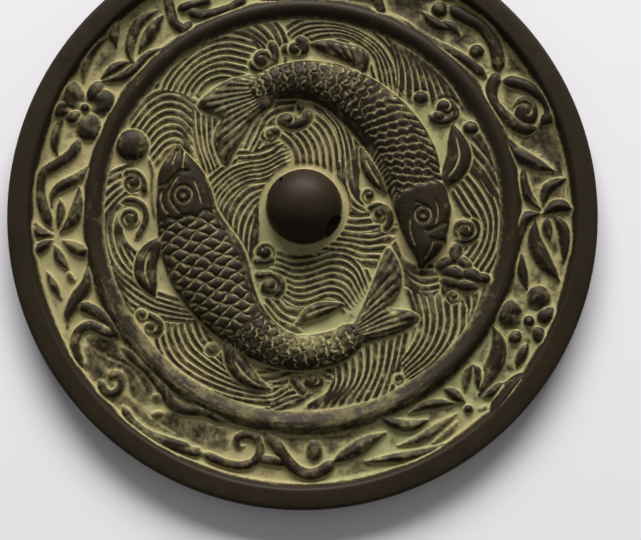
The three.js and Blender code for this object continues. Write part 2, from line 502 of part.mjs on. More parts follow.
function carving() {
  return [
    ...LEAVES.map(leaf),
    ...[...STEMS, ...CURLS, ...HEAD_LINES].map(stem),
    ...BOSSES.map(([x, y, alongX, alongY, high]) => dome(x, y, alongX, alongY, high)),
    ...FLOWERS.flatMap(flower),
    ...WAVES.flatMap(waves),
    fishBody(UPPER_FISH, 0.12, 0.68),
    fishBody(LOWER_FISH, 0.1, 0.76),
    ...FINS.map(fin),
    ...EYES.map(([x, y, radius]) => dome(x, y, radius, radius, EYE_HEIGHT)),
  ];
}

const casting = Manifold.union([plate(), knob(), ...carving()]).subtract(cordHole());

const mirror = new THREE.Mesh(
  geometryOf(casting),
  new THREE.MeshStandardMaterial({ color: '#3b362c', roughness: 0.5, metalness: 0.85 }),
);
mirror.name = 'mirror';
mirror.rotation.z = CORD_TURN;

const part = new THREE.Group();
part.add(mirror);
export default part;
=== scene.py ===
"""A round cast bronze mirror, lying on its polished face with the carved side up.

The carved side is modelled as a founder would cut the mould: a plain blank is given
its ring, rim and knob, and the drawing is carved on it stroke by stroke, with waves,
two carp, foam curls and a border of leaves and flowers. The drawing is in
millimetres, in a frame of its own that is turned to bring the cord hole onto X.
"""

import math

import bpy
import numpy as np
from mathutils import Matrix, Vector


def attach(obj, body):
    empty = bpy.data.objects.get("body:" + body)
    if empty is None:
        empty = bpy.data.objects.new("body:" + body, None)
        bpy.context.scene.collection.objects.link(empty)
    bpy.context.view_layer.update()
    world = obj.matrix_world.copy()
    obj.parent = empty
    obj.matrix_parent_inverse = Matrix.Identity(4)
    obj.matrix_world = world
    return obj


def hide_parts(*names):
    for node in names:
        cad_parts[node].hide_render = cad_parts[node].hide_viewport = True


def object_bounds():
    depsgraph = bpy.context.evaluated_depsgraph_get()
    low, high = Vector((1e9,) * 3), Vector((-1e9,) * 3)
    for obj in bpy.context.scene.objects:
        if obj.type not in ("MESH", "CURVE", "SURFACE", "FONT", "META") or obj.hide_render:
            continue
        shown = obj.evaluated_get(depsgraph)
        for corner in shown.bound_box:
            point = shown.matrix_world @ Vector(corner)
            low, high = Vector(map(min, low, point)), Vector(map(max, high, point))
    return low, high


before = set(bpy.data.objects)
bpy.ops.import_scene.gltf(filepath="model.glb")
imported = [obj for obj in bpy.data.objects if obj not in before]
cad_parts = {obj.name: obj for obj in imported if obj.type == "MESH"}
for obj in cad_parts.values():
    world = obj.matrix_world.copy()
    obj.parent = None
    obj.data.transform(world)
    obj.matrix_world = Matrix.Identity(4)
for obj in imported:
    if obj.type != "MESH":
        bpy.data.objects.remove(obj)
cad_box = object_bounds()

MM = 0.001

# ---- the blank ------------------------------------------------------------------

# Lengths here and in the drawing are in millimetres: radii are taken from the middle of
# the disc, or of the knob for its own, and heights from the mirror face.

CORD_TURN = math.radians(34)     # from the drawing's x to the cord hole
TURN_COS, TURN_SIN = math.cos(CORD_TURN), math.sin(CORD_TURN)

EDGE_GAP = 0.014                 # the casting ends a hair inside the solid
DISC_RADIUS = round(cad_box[1][0] / MM - EDGE_GAP, 2)
EDGE_ROUND = 1.0
FLAT_RADIUS = DISC_RADIUS - EDGE_ROUND
RIM_TOP = 6.0
RIM_INNER = 69.4
RIM_FOOT = 68.2
GROUND = 3.0
RING_TOP = 5.0
RING_OUTER_FOOT = 56.4
RING_OUTER = 55.0
RING_INNER = 52.3
RING_INNER_FOOT = 49.9

KNOB_CENTRE = (0.4, 1.7)
KNOB_RADIUS = 9.75
KNOB_HEIGHT = round(cad_box[1][2] / MM, 2) - GROUND     # over the ground of the field
KNOB_MOAT = 1.19                 # waves stay outside this many knob radii
HOLE_WIDTH = 5.8
HOLE_SILL = 0.2
HOLE_HEIGHT = 5.3

# Reliefs stand on the ground, and their heights are counted from it.

FISH_HEIGHT = 3.0
FIN_HEIGHT = 1.7
UPPER_LENGTH = 74.5              # of the two bodies, from tail root to nose
LOWER_LENGTH = 72.0
PETAL_HEIGHT = 1.7
RELIEF_GAIN = 1.2                # border forms stand a little prouder than the blocked-out solid
FOOT_GAIN, FOOT_EXTRA = 0.85, 0.75    # leaves and stems are broader at the foot than their keel
CURL_SPREAD = 1.35
PETAL_SPREAD = 1.15
GROOVE_FLOOR = 0.15              # a cut leaves at least this much of what was raised

WAVE_HEIGHT = 0.6
WAVE_SHARE = 0.44                # half width of a crest, as a share of the crests' spacing
WAVE_SPACING = (1.0, 2.3)        # least and most between two crests of a group
WAVE_PITCH = 1.7                 # between crests that the drawing doesn't place
WAVE_OVERRUN = 3.2               # how far a group of waves runs on where the field is free

MESH_RINGS = 320                 # rows of faces from the middle of the blank to its edge
FACE_BUDGET = 188000
SHARP_ANGLE = math.radians(48)
SIDE_HEIGHT = 2.0                # below it are the sides and the mirror face, where no dust clings


def to_drawing(x, y):
    """Turns the part's coordinates into the drawing's."""
    return x * TURN_COS + y * TURN_SIN, y * TURN_COS - x * TURN_SIN


def to_part(u, v):
    """Turns the drawing's coordinates into the part's."""
    return u * TURN_COS - v * TURN_SIN, u * TURN_SIN + v * TURN_COS


# ---- the drawing: border -----------------------------------------------------------

# Leaves and petals: half width, height, then points from root to tip.
LEAVES = [
    (1.3, 1.2, (-37.6, 52.8), (-42.2, 49.2), (-44.2, 44.5), (-44.4, 41.2), (-43, 38.4)),
    (1.6, 1.3, (-36, 51.4), (-38.6, 47.6), (-40.8, 44.2), (-42, 42)),
    (1.2, 1.2, (-35.3, 43), (-39.6, 41), (-42.6, 37.8), (-46.3, 35.4), (-51.5, 34.2)),
    (1, 1.1, (-44.3, 39.4), (-48, 37.8), (-51.6, 35)),
    (1.2, 1.2, (-50, 45.6), (-53.7, 42.8), (-55.6, 38.8), (-56.2, 34.2)),
    (1.6, 1.3, (-47.6, 54), (-48.8, 48.4), (-48, 43.4)),
    (1, 1.1, (-61.2, 25.2), (-62.9, 21), (-63.3, 17.4), (-62.5, 15)),
    (1.3, 1.2, (-53.6, 12.9), (-57, 9.4), (-61, 7.2), (-63.4, 5.2), (-63.9, 2)),
    (1.8, 1.4, (-57, 6.8), (-56.9, 2.6), (-58.4, -1.6), (-61.5, -4.6)),
    (0.9, 1.1, (-61.8, 3.8), (-61.5, 0.6), (-62.2, -3.6)),
    (1.5, 1.2, (-70, 0), (-69, -3.2), (-66.6, -5), (-63.6, -5.4)),
    (1.3, 1.2, (-69.6, -9.8), (-66.6, -8.8), (-63.6, -6.8)),
    (1.6, 1.3, (-60.8, -7), (-57, -9.2), (-54, -9.6), (-51.6, -9.2)),
    (1.1, 1.2, (-63, -8.2), (-61.6, -11.4), (-59.4, -14.2)),
    (0.8, 1, (-64.9, -14.8), (-63.2, -18.2), (-61, -21.8)),
    (0.5, 0.8, (-59.6, -14.8), (-58.8, -16.4), (-57.6, -17.2)),
    (1.9, 1.3, (-54.4, -13), (-54.6, -17.6), (-57, -21.6), (-59.2, -25.6), (-59.4, -28.8)),
    (1.2, 1.3, (56.4, 12.2), (56.2, 8), (57.2, 4.8), (60.4, 1.2)),
    (1.2, 1.3, (61.2, 2.2), (62.4, 6.2), (67, 9)),
    (1.4, 1.4, (61.2, 0), (65, 2), (69.2, 1)),
    (1.8, 1.5, (60.2, 0), (56.4, -1.4), (54.8, -4.8), (55, -8.6)),
    (1, 1.2, (62.2, -1), (62.2, -4), (62.8, -6.6)),
    (2, 1.5, (59.2, -1.6), (58.9, -6), (60.6, -11), (65, -17)),
    (1.5, 1.3, (64, -0.6), (66.6, -4.6), (66.9, -9), (66.2, -12.4)),
    (1, 1.2, (55.6, -10.2), (55.6, -14.2), (56.9, -19.2)),
    (1.8, 1.4, (51.2, 20.6), (54, 16), (58.6, 13.2), (64, 11)),
    (0.9, 1.1, (26.8, -50.6), (31, -48.8), (35, -48.2), (38.8, -48.2)),
    (1.2, 1.2, (36, -44.6), (38.2, -46), (40.8, -47.8)),
    (0.8, 1.2, (42.9, -38.4), (41.6, -41), (41, -45.2)),
    (0.8, 1.2, (43.1, -38.4), (44.4, -40.6), (44.3, -44.4)),
    (2.1, 1.5, (48.2, -28.8), (49.6, -33.2), (48.9, -37.4), (47, -41), (44.6, -46)),
    (0.9, 1.1, (45.6, -46.6), (48.2, -45.2), (51, -43)),
    (1.1, 1.2, (56.9, -33.2), (55.3, -36.2), (54.2, -39)),
    (1.2, 0.8, (38.8, -50.8), (34.8, -54), (29.4, -57.2), (24, -58.8)),
    (0.7, 0.6, (39.4, -52.6), (36.6, -55.6), (32.6, -58.2)),
    (0.6, 0.6, (44.4, -49.6), (48.8, -49.6)),
    (1.7, 1.4, (7.4, -63), (12, -60.6), (16.4, -58), (20.8, -55.6)),
    (1.1, 1.2, (16, -62.8), (22, -62), (28, -61.3), (33.4, -59.8), (37.2, -57.6)),
    (1.4, 1.3, (19.2, -51.6), (23.6, -53.4), (28, -53.8), (31.6, -52.4)),
    (1, 1, (30.6, 52.4), (33.8, 49.4), (38.4, 47.6)),
    (0.9, 0.9, (36, 49.8), (38.6, 48.2), (40.4, 46.4)),
    (1, 1.2, (-11, 56.2), (-6, 55.2), (-1.4, 56)),
    (1.4, 1.2, (-5.4, 61), (-9.4, 59.8), (-13.4, 60.6), (-17.4, 63)),
    (1.2, 1.2, (-17.6, 57.6), (-22.4, 58.8), (-29.4, 57.6)),
    (1.4, 1.2, (11, 61.6), (14.8, 60.8), (19.2, 62), (23.4, 60)),
    (1.2, 1.2, (24, 56.2), (28.2, 57.8), (33.8, 56.2)),
]

# Stems and rolled edges: half width, height, then points along them.
STEMS = [
    (0.9, 1.1, (-34.8, 57), (-34, 52.4), (-32.6, 49), (-30.2, 47.9), (-28.8, 49.6)),
    (1, 1.1, (-56.8, 19.4), (-58.8, 15.6), (-62.6, 12.8), (-66.2, 10.2), (-66.9, 6), (-66, 1.6),
     (-63.8, -3.8)),
    (1.1, 1.1, (-56.4, -23.2), (-51.6, -25.6), (-48.4, -28.2), (-46.4, -31.4)),
    (0.9, 1, (-46.8, -31.2), (-50.4, -29.8), (-53.8, -28.5), (-56.6, -30.2), (-57.4, -34.4),
     (-55.8, -38.8)),
    (1, 1.1, (-45.4, -34.2), (-38.8, -39.6), (-35.2, -44.4), (-33, -48), (-29.4, -49.8),
     (-24.4, -50.2), (-18.6, -53.2)),
    (0.8, 1, (-45.2, -49.2), (-43.6, -52.2), (-40, -55.4), (-34, -57.8), (-27.6, -59.6)),
    (1.1, 1.2, (-9.6, -55.2), (-6.6, -58.6), (-4.4, -61.8), (-1.4, -64.8), (2, -66), (5.2, -65),
     (8.2, -62.6)),
    (1.4, 1.3, (37.8, 53.4), (42.2, 50.8), (46, 48.6), (48.8, 44.6), (50, 40.6), (50.2, 36.8)),
    (0.8, 0.9, (25.4, 50.4), (28.4, 46.9), (33, 44.3), (38, 41.9), (43, 38.9), (47.2, 35.2)),
    (0.9, 1.1, (9.4, 58.4), (14.6, 57.6), (18.8, 56), (20.4, 51.2)),
    (0.8, 0.9, (-10.4, -62.2), (-4.6, -63)),
    (0.8, 1, (-25.2, -60.6), (-29.6, -60), (-34.4, -58.6), (-40, -55.6)),
    (0.9, 1.1, (-14.6, 55.8), (-19.6, 52.9), (-26, 51.6), (-29.6, 52.4)),
    (0.8, 1.1, (-24, 55.4), (-28.4, 54.2), (-31.8, 53.2)),
    (1.2, 1.2, (50.2, 36.4), (48.6, 33), (48.4, 29.4), (50.4, 26.4), (53.2, 23.9), (56.4, 21.9),
     (59.4, 22)),
    (1.2, 1.2, (51.6, 34.4), (55.6, 33.6), (60, 31.4), (62.9, 28.4), (63.2, 25.4), (61.2, 23.2)),
]

RIM_SWELLING = (1.9, 2.6, (57.4, -39.6), (53, -43.8), (50, -47.8), (45.8, -53))

# Blossoms: x, y, radius of the heart, then angle, distance, length and width of petals.
FLOWERS = [
    (-55.7, 27.2, 1.3, [(139, 5.4, 4.1, 3.4), (181, 6, 3, 2.3), (60, 5, 2.8, 1.8),
                        (17, 4.8, 3.2, 3.3), (283, 5.1, 3.4, 3.4), (218, 3.7, 1.9, 1.4)]),
    (57.3, -27.4, 1.5, [(67, 6.4, 2.9, 2.8), (158, 5.2, 3, 3.2), (229, 5.4, 1.7, 1.5),
                        (307, 5, 2.6, 1.8), (15, 5.2, 2.8, 2)]),
    (3, 61.9, 1.4, [(90, 4.2, 2.2, 2.2), (162, 4.6, 2.6, 2.2), (234, 4.2, 2.4, 2),
                      (306, 4.2, 2.4, 2), (18, 4.6, 2.6, 2.2)]),
]

# The worn leaf mass at the lower left: broad low swellings, and the folds cut in them.
WORN_MASS = [
    (4.6, 0.55, (-61.5, -31), (-57.5, -36), (-52.6, -42), (-47, -47)),
    (4.2, 0.6, (-52, -31), (-47, -36), (-43, -41), (-38.5, -46)),
    (3.4, 0.45, (-50, -44.5), (-44, -50), (-37, -54.5), (-31, -57.5)),
    (3.2, 0.45, (-35, -51), (-29, -54.4), (-23, -56.6), (-19, -57.6)),
]
WORN_FOLDS = [
    (0.6, 0.5, (-57.3, -31.8), (-52.8, -34.3), (-48.7, -36.7), (-44.4, -38.6), (-41.6, -41.6),
     (-39.4, -45.3)),
    (0.5, 0.4, (-60.4, -31.8), (-57.6, -36.6), (-54.8, -40.6)),
    (0.5, 0.4, (-45.8, -38), (-45, -42.6), (-42.4, -47.6), (-38.6, -51)),
    (0.5, 0.4, (-51.6, -45.6), (-46, -51.6), (-39.6, -55.4)),
    (0.5, 0.4, (-40.8, -48.6), (-36.4, -53), (-31.4, -56)),
]

# ---- the drawing: field ------------------------------------------------------------

# Curled crests and spirals: half width, height, then points along them.
CURLS = [
    (0.8, 1.1, (-45.6, 10.4), (-42.8, 10.6), (-40.8, 8.6), (-40.2, 5)),
    (0.7, 1, (-46.4, 3), (-43.4, 3.6), (-40.6, 2), (-39.8, -1.2), (-41.2, -4.6), (-42.6, -6.6)),
    (1, 1.2, (-13.4, 39.6), (-12.2, 38), (-9.8, 37.6), (-7.6, 39.4), (-7.2, 42), (-8.4, 44.6)),
    (1.1, 1.2, (-5.2, 42.6), (-2.6, 42.6), (0.2, 42.4), (0.4, 44.2), (-1.6, 45.2)),
    (1.2, 1.2, (-5, 23.8), (-2.4, 23), (0.4, 24), (1.8, 26.4)),
    (0.9, 1.1, (-10, 19.8), (-8.2, 21.6), (-6.2, 21)),
    (0.8, 1.1, (-7.8, -15.8), (-5.6, -17), (-5.4, -19.4), (-7, -21)),
    (0.8, 1, (-12, -12.1), (-9.4, -12.3), (-7.6, -11.6)),
    (0.8, 1, (-11.6, -15.6), (-9.4, -15.8), (-7.8, -15.6)),
    (0.8, 1.1, (16.6, 1.6), (19.6, 2), (21.8, 0.6), (22.2, -2), (20.8, -4.2)),
    (0.9, 1.2, (39, -6.6), (41.4, -6.8), (43.8, -5.4), (44, -2.8), (42.8, -1.6)),
    (0.8, 1.1, (36.2, -20.2), (36.2, -17.8)),
    (0.8, 1, (34.2, 28), (37.8, 28.4), (39.2, 25.8), (37, 24), (34, 24), (32.4, 25.6)),
    (0.45, 0.7, (-39.6, 14.8), (-38.4, 11), (-38.5, 6.5), (-38.2, 2.4), (-37.4, -1.6)),
    (0.8, 1, (-2.6, -41.8), (-1.4, -43.4), (0.4, -45.4)),
    (0.8, 1, (-41.6, -25.6), (-38.4, -26.2), (-36, -28.2), (-36.6, -30.2), (-38.2, -29.8)),
    (1, 1.1, (-25.6, -60.4), (-20.4, -62.8), (-15.8, -63.8), (-12.2, -62.8), (-10.6, -60),
     (-11.4, -57.2), (-14, -56), (-16.3, -57), (-16, -59), (-14.6, -58.8)),
    (0.9, 0.9, (-51.2, -42.6), (-49.6, -45.4), (-47.2, -45.7), (-45.6, -43.6), (-46, -41.4),
     (-47.8, -41), (-48.6, -42.2)),
]

# Bosses and drops of foam: x, y, half length along x and along y, height.
BOSSES = [
    (-43.6, 17.6, 4.6, 4.4, 2.4), (41.8, -49.6, 1.4, 1.3, 1.2), (35.2, 53, 2.3, 2.2, 1.5),
    (44.7, 42, 2.1, 2, 1.5), (57, 26.2, 3.4, 4.4, 1.9), (-36.5, -46.8, 1.5, 1.3, 0.8),
    (-36.4, -50.9, 1.8, 1, 0.8), (3, -60.2, 2.3, 2.9, 1.3), (-43.2, 8.1, 2.7, 2.5, 1.4),
    (-43.8, -1, 2.8, 2.8, 1.5), (-10.4, 39.9, 3, 2.8, 1.6), (-1.8, 42.6, 2.6, 2.2, 1.4),
    (-9.5, -9.6, 2.6, 2.3, 1.4), (-8.2, -18.4, 3, 2.5, 1.5), (16.9, 4.8, 2, 2, 1.3),
    (19.6, 0, 2.2, 2.2, 1.4), (41.4, -4.2, 3.3, 3.2, 1.6), (38.2, -20.9, 2, 2, 1.2),
    (2.8, -42.6, 3, 2, 1.4), (24.2, -41.9, 1.6, 1.6, 1), (43, 22.1, 2.2, 1.9, 1.4),
    (30.3, 30, 2.1, 1.8, 1.3), (36.4, 27.7, 3, 2.2, 1.5), (34.8, 25, 2, 1.6, 1.3),
    (-22.8, -34.4, 2, 1.8, 1), (-8.2, 20.5, 2, 2, 1.3), (-3.9, 24.2, 2.9, 2.1, 1.5),
    (-0.6, 27.5, 1.2, 1.2, 1.2), (-40.5, -25.7, 2, 1.8, 1.1),
    (-38.4, -29, 1.9, 1.9, 1.1),
]

# Spirals cut into the curls: x, y, radius where the line starts, its angle there, and turns.
SPIRALS = [
    (-43.2, 8.1, 2.5, 120, -1.1), (-43.8, -1, 2.7, 100, -1.2), (-10.4, 39.9, 2.9, 100, 1.1),
    (-1.8, 42.6, 2.4, 100, 1), (-9.5, -9.6, 2.3, 250, 0.8), (-8.2, -18.4, 2.7, 200, -0.9),
    (16.9, 4.8, 1.9, 60, -1), (19.6, 0, 2.1, 70, 1), (41.4, -4.2, 3.2, 130, -1.4),
    (38.2, -20.9, 1.9, 180, -1.2), (2.8, -42.6, 2.4, 180, -0.7), (24.2, -41.9, 1.5, 60, 0.9),
    (36.4, 27.7, 2.5, 200, -0.9), (-8.2, 20.5, 1.9, 60, 1), (-3.9, 24.2, 2.5, 150, -0.8),
    (-40.5, -25.7, 1.9, 150, -0.9), (-38.4, -29, 1.8, 150, -1),
    (57, 26.2, 3.2, 200, -0.75),
]

# Groups of waves: number of crests, the first crest's points, the last one's.
WAVES = [
    (7, [(-42.8, 23.4), (-39.6, 27.6), (-35.4, 30.1), (-31.4, 29.7), (-28.6, 27.8)],
     [(-37, 15.8), (-35.2, 17.8), (-32.8, 18.9), (-30.4, 17.6), (-29.3, 15.2)]),
    (6, [(-13, 44.4), (-19, 45.7), (-25, 44), (-30.6, 40), (-34.6, 35.2), (-36.2, 31.4)],
     [(-17, 36.4), (-21, 37), (-25, 35.6), (-27.8, 32.6), (-29, 29.8)]),
    (4, [(-18, 47.6), (-13.6, 46.2), (-10.4, 43.9), (-8.9, 41.4)],
     [(-8.8, 49.4), (-6.8, 46.6), (-5.8, 43.4), (-6, 40.6)]),
    (4, [(-3.6, 46.8), (0, 49), (7, 49.4), (14, 47.5), (19.6, 43.6), (22.8, 38.2), (23.6, 33.6)],
     [(1.2, 45.2), (5, 46.2), (10, 46.4), (14.6, 44.4), (18.3, 41), (19.4, 37.6), (19.9, 35.2)]),
    (7, [(23.4, 44.2), (25, 39.4), (25.5, 35), (25.3, 32.2)],
     [(33.6, 37.2), (35.5, 33.8), (36.9, 30.9)]),
    (6, [(-4.2, 21.4), (-1.6, 19), (0, 16.2), (0.3, 13.6)],
     [(2.6, 26), (6.3, 22.4), (8.3, 18), (8.8, 13.2)]),
    (3, [(4.6, 26.8), (8.2, 23), (10, 17.4), (10.4, 11), (11, 6), (13.2, 2.4), (16, 0.8)],
     [(7.6, 26.4), (10.9, 22.2), (12.6, 17), (13.2, 11.4), (13.6, 7.4), (14.3, 5)]),
    (2, [(-13.4, 16.2), (-11.4, 20.2), (-9.4, 24.4), (-6.2, 26.7), (-2.4, 27.4)],
     [(-11.6, 17.2), (-9.6, 21), (-7.4, 24.2), (-4.6, 24.9)]),
    (5, [(-6, 15.6), (-9.6, 13.7), (-14, 13), (-18, 11.6), (-21.4, 9), (-24, 6.4)],
     [(-5.6, 11.2), (-9.6, 9), (-13.6, 8.4), (-17, 6.7), (-19.8, 3.4), (-21, 0.4)]),
    (2, [(-15.8, 15.9), (-12, 16.3), (-8.6, 17.6)],
     [(-16.2, 14.5), (-12, 14.7), (-8, 15.6), (-6.4, 17)]),
    (5, [(-9, 7.4), (-13, 6.4), (-16.4, 3.4), (-18.2, -0.6), (-18.5, -4.2)],
     [(-11.3, 0.8), (-12.2, -3), (-12.8, -6), (-13, -9.2)]),
    (3, [(10.6, 0.6), (13.6, 0), (16.4, 0.2)], [(10, -3.2), (14, -3.7), (17.6, -3.4)]),
    (4, [(9.3, -4.9), (14, -5.5), (18.6, -5.7), (21.6, -4.5)],
     [(6.8, -9), (11.4, -9.4), (15, -10.8), (18.4, -11)]),
    (7, [(-6.6, -11.4), (-2, -13), (3, -12.3), (7, -10.8), (11, -10.8), (14, -13.2), (15.8, -17.2)],
     [(-4.4, -21.2), (-1, -22.7), (3, -22), (6.5, -20.8), (9.2, -21.2), (10.4, -22.4)]),
    (2, [(-6.6, -22), (-4, -24.5), (-0.8, -25.1)], [(-7.6, -23.4), (-5, -26.2), (-2.2, -27.4)]),
    (4, [(-45.4, 10.4), (-47.6, 9.4), (-49.4, 8.2)], [(-45.6, 4.8), (-47.6, 2.8), (-49.6, 0.2)]),
    (3, [(-43.8, 4.2), (-47.4, 1.6), (-48.9, -3), (-48.2, -8.4), (-45.8, -13), (-42.8, -16)],
     [(-46.3, -3.2), (-46, -6.2), (-44.5, -9.4), (-42.7, -12.2)]),
    (4, [(-48.4, -13), (-45, -16.2), (-41, -19.2), (-38, -21.2), (-33, -22.9), (-29.6, -23.8)],
     [(-47, -18.6), (-44.4, -22.2), (-40, -25), (-34, -26.6), (-29, -27.2)]),
    (6, [(-35.4, -27.6), (-35.2, -32), (-32.4, -37.4), (-27, -41.4), (-20, -44.5), (-13, -46.4),
         (-8, -46.6), (-3.6, -44.4)],
     [(-27.4, -27.4), (-25.6, -31.6), (-21.6, -36.2), (-18.4, -39.4), (-15, -42.2)]),
    (5, [(-9, -41.6), (-6, -41.4), (-3, -40.6), (1, -40.3), (5.4, -41.2)],
     [(-7.4, -48.7), (-3.4, -47.2), (-0.4, -46.4)]),
    (9, [(8.6, -37.4), (9.3, -40), (9.3, -42.6), (8, -45.4), (4.6, -47.8)],
     [(24.4, -31.6), (23.8, -34.8), (22.8, -39.2), (20.8, -45.4)]),
    (7, [(40.8, -24.4), (40.3, -30), (37.4, -35.2), (33.4, -39.2), (28.4, -42.2)],
     [(28.4, -20.4), (29.7, -24.6), (29.9, -29), (28.2, -33.4), (24.8, -37.8)]),
    (3, [(23.6, -9), (25.6, -12.8), (29.2, -15.2), (33.4, -15)],
     [(25.6, -15.8), (28.2, -18.3), (31.4, -19.2), (34.6, -18.4)]),
    (3, [(44.6, 18.6), (47, 15.6), (48.4, 13)], [(43.4, 13.6), (46.4, 10), (49, 5.6)]),
    (4, [(43, 11.2), (46.2, 7.2), (48.8, 1.6), (49.2, -4.2), (48, -9.6), (45.4, -14)],
     [(39.8, 6), (42, 2.4), (44.3, -1), (45.2, -4), (44, -7.6), (41.4, -11.2)]),
    (3, [(46.8, -17.6), (45.8, -21.2), (43.8, -25.2), (42, -28)],
     [(41, -20), (42.2, -23.2), (41.8, -26.4)]),
    (4, [(-28.2, 27), (-27.8, 22), (-26.8, 17), (-25.4, 12.6)],
     [(-23.9, 24.4), (-23.8, 20), (-23.2, 16), (-21.6, 12.2)]),
]

# Where dust lies thick on high parts: x, y, reach, amount.
DUSTY = [(1, -31.6, 5.2, 0.55), (8, -33.4, 3.4, 0.35), (6, 37.2, 4.2, 0.35), (13, 34, 3.2, 0.3),
         (21.5, 30, 2.6, 0.4), (26, 25.5, 2.4, 0.4), (31, 19.5, 2.4, 0.35), (-33.6, 14.5, 2.6, 0.3),
         (34, 15, 2, 0.3), (-5.4, -31, 3.2, 0.35)]

# Spines of the fishes, from tail root to nose: x, y, half width of the body.
UPPER_FISH = [(-11.5, 32.3, 3.7), (-5, 34, 4.7), (2, 34.4, 5.4), (9, 32.3, 6.3), (16, 27.7, 7.3),
              (22, 21.5, 8), (26.2, 14.5, 8.2), (28.5, 8, 7.4), (30.4, 2, 7.2), (31.1, -4, 6.2),
              (31, -9, 4.2), (30.2, -13, 1.2)]
LOWER_FISH = [(11.8, -31.8, 3.9), (9, -33.6, 4.4), (4, -35.1, 4.6), (-3, -35.2, 4.8),
              (-10, -32.2, 5.7), (-16.2, -26.8, 7.2), (-20.6, -20.5, 9), (-23.9, -13.8, 10.4),
              (-27, -7.5, 9.6), (-29.2, -1, 8.1), (-30.2, 5, 7.2), (-31.4, 11, 5.5),
              (-31.7, 14.4, 3.2), (-31.7, 17, 0.8)]

# Plain fins: x, y, half width from root to tip.
FINS = [
    ((33, 7.4, 1.4), (37.6, 10, 2.8), (39.9, 14.6, 3.4), (39.3, 19, 2.4), (38.3, 23, 0.4)),
    ((-35.6, -7, 1.6), (-39, -10.6, 2.8), (-39.8, -15, 3), (-38.6, -18.6, 2), (-37.4, -21, 0.4)),
    ((-18.6, -34, 1.6), (-17, -37.6, 2.6), (-14.6, -40.8, 2.6), (-11.6, -43.2, 1.8), (-8, -44.6, 0.3)),
    ((-1.4, -28, 0.5), (1.8, -25.6, 1.9), (5.6, -24.2, 1.9), (10.2, -23.2, 0.4)),
    ((15, 16.6, 0.6), (16.6, 12.6, 1.9), (18.6, 9, 2), (21, 5.6, 0.5)),
]

# Fans: height, degrees from ray to ray, the point the rays spread from, then the outline.
FANS = [
    (1.7, 5.6, (-4.5, 32.5), (-8, 36.4), (-14, 36), (-19.5, 34.6), (-24, 31.6), (-27.2, 27.9),
     (-24.2, 25.8), (-20.8, 24.6), (-22.4, 22), (-22.9, 18.6), (-21.6, 14.8), (-19.4, 12), (-17, 16),
     (-14.4, 20.6), (-11.6, 25), (-7.6, 28)),
    (1.7, 5.4, (7.5, -33), (13, -27.8), (15.6, -22.5), (18.5, -15), (21.8, -8.4), (24.2, -11.4),
     (25.4, -15.6), (25.2, -19), (24, -21.6), (22.4, -23.9), (25, -24.3), (27.9, -24.8), (29.8, -26.6),
     (27.5, -29), (24.5, -30.6), (19, -32.3), (14.6, -33.6), (9.6, -36), (9.4, -30)),
    (1.6, 9.5, (15.5, 33.5), (0.9, 44.3), (6.4, 45.2), (11.3, 44.2), (14.8, 43.4), (17.2, 41.2),
     (17, 38), (15.4, 35.4), (12.4, 38.2), (8.6, 40.2), (4.4, 41.8)),
]

# Eyes: x, y, radius of the lid and of the pupil.
EYES = [(30.5, -0.6, 2, 0.7), (-30.1, 4.6, 2.1, 0.75)]

# Lips, cheeks and lobes of foam: x, y, half lengths, height and turn in degrees.
LOBES = [
    (-34.6, 9.6, 2.9, 2.1, 3.2, 52), (-31.3, 12.8, 2.8, 1.5, 3.2, 78), (-29, 12.6, 2.9, 1.3, 3.1, 108),
    (34.9, -5.6, 2.7, 1.9, 3.2, -70), (33.4, -9, 2.7, 1.7, 3.1, -128), (29.4, -10.2, 2.7, 1.4, 3.1, -68),
    (36.4, 0.6, 3.2, 1.5, 2.9, -95), (-35.9, 3.2, 3.4, 1.5, 2.9, 84),
    (38.8, -10.4, 3.3, 1.9, 1.8, 75), (36.4, -12.8, 3, 1.8, 1.7, 25), (40.9, -12.8, 2.8, 1.8, 1.6, -35),
    (38.4, -15.2, 3.8, 2.2, 1.9, -12), (42.8, -15.8, 3.4, 2.1, 1.8, -28), (46, -16.6, 2.2, 1.5, 1.5, -10),
    (37.6, -17.6, 3, 1.7, 1.5, -15), (41.6, -18.4, 3.4, 1.7, 1.6, -5),
]

# Lines cut into the heads: half width, depth, then points.
HEAD_CUTS = [
    (0.5, 1.1, (-33, 12.2), (-32.5, 14.2), (-31.7, 16.2)),
    (0.4, 0.9, (-30.4, 11), (-30.2, 13.4), (-30, 16.2)),
    (0.5, 1.2, (-36.6, 6.7), (-34.6, 7.1), (-32.6, 9), (-31, 10.4), (-28.8, 10.5)),
    (0.45, 0.9, (-31.1, 9.6), (-32.8, 7.4), (-33.8, 5.2), (-33.8, 3.6), (-32.8, 1.8), (-31.2, -0.2)),
    (0.4, 0.7, (-35.7, 5.8), (-36, 3.4), (-35.2, 1.2), (-34, -0.4)),
    (0.35, 0.5, (-27.6, 8.4), (-26.4, 5.4), (-25.6, 2.2)),
    (0.5, 1.1, (36.9, -2.6), (34.8, -3.4), (32.6, -4.4), (30.8, -4.6)),
    (0.45, 1, (35.9, -7.7), (33.8, -7.2), (32.2, -6.6)),
    (0.4, 0.8, (33.2, -6.9), (32.4, -9.2), (30.8, -11.8)),
    (0.4, 0.8, (33.7, 3.4), (34.3, 1.2), (34.2, -1), (33.6, -3.2)),
    (0.35, 0.6, (28.6, 2.6), (30, 2), (31.9, 1.3)),
    (0.35, 0.6, (27.2, -1.2), (27.4, -5), (28.6, -8.6)),
]

# ---- curves ---------------------------------------------------------------------------


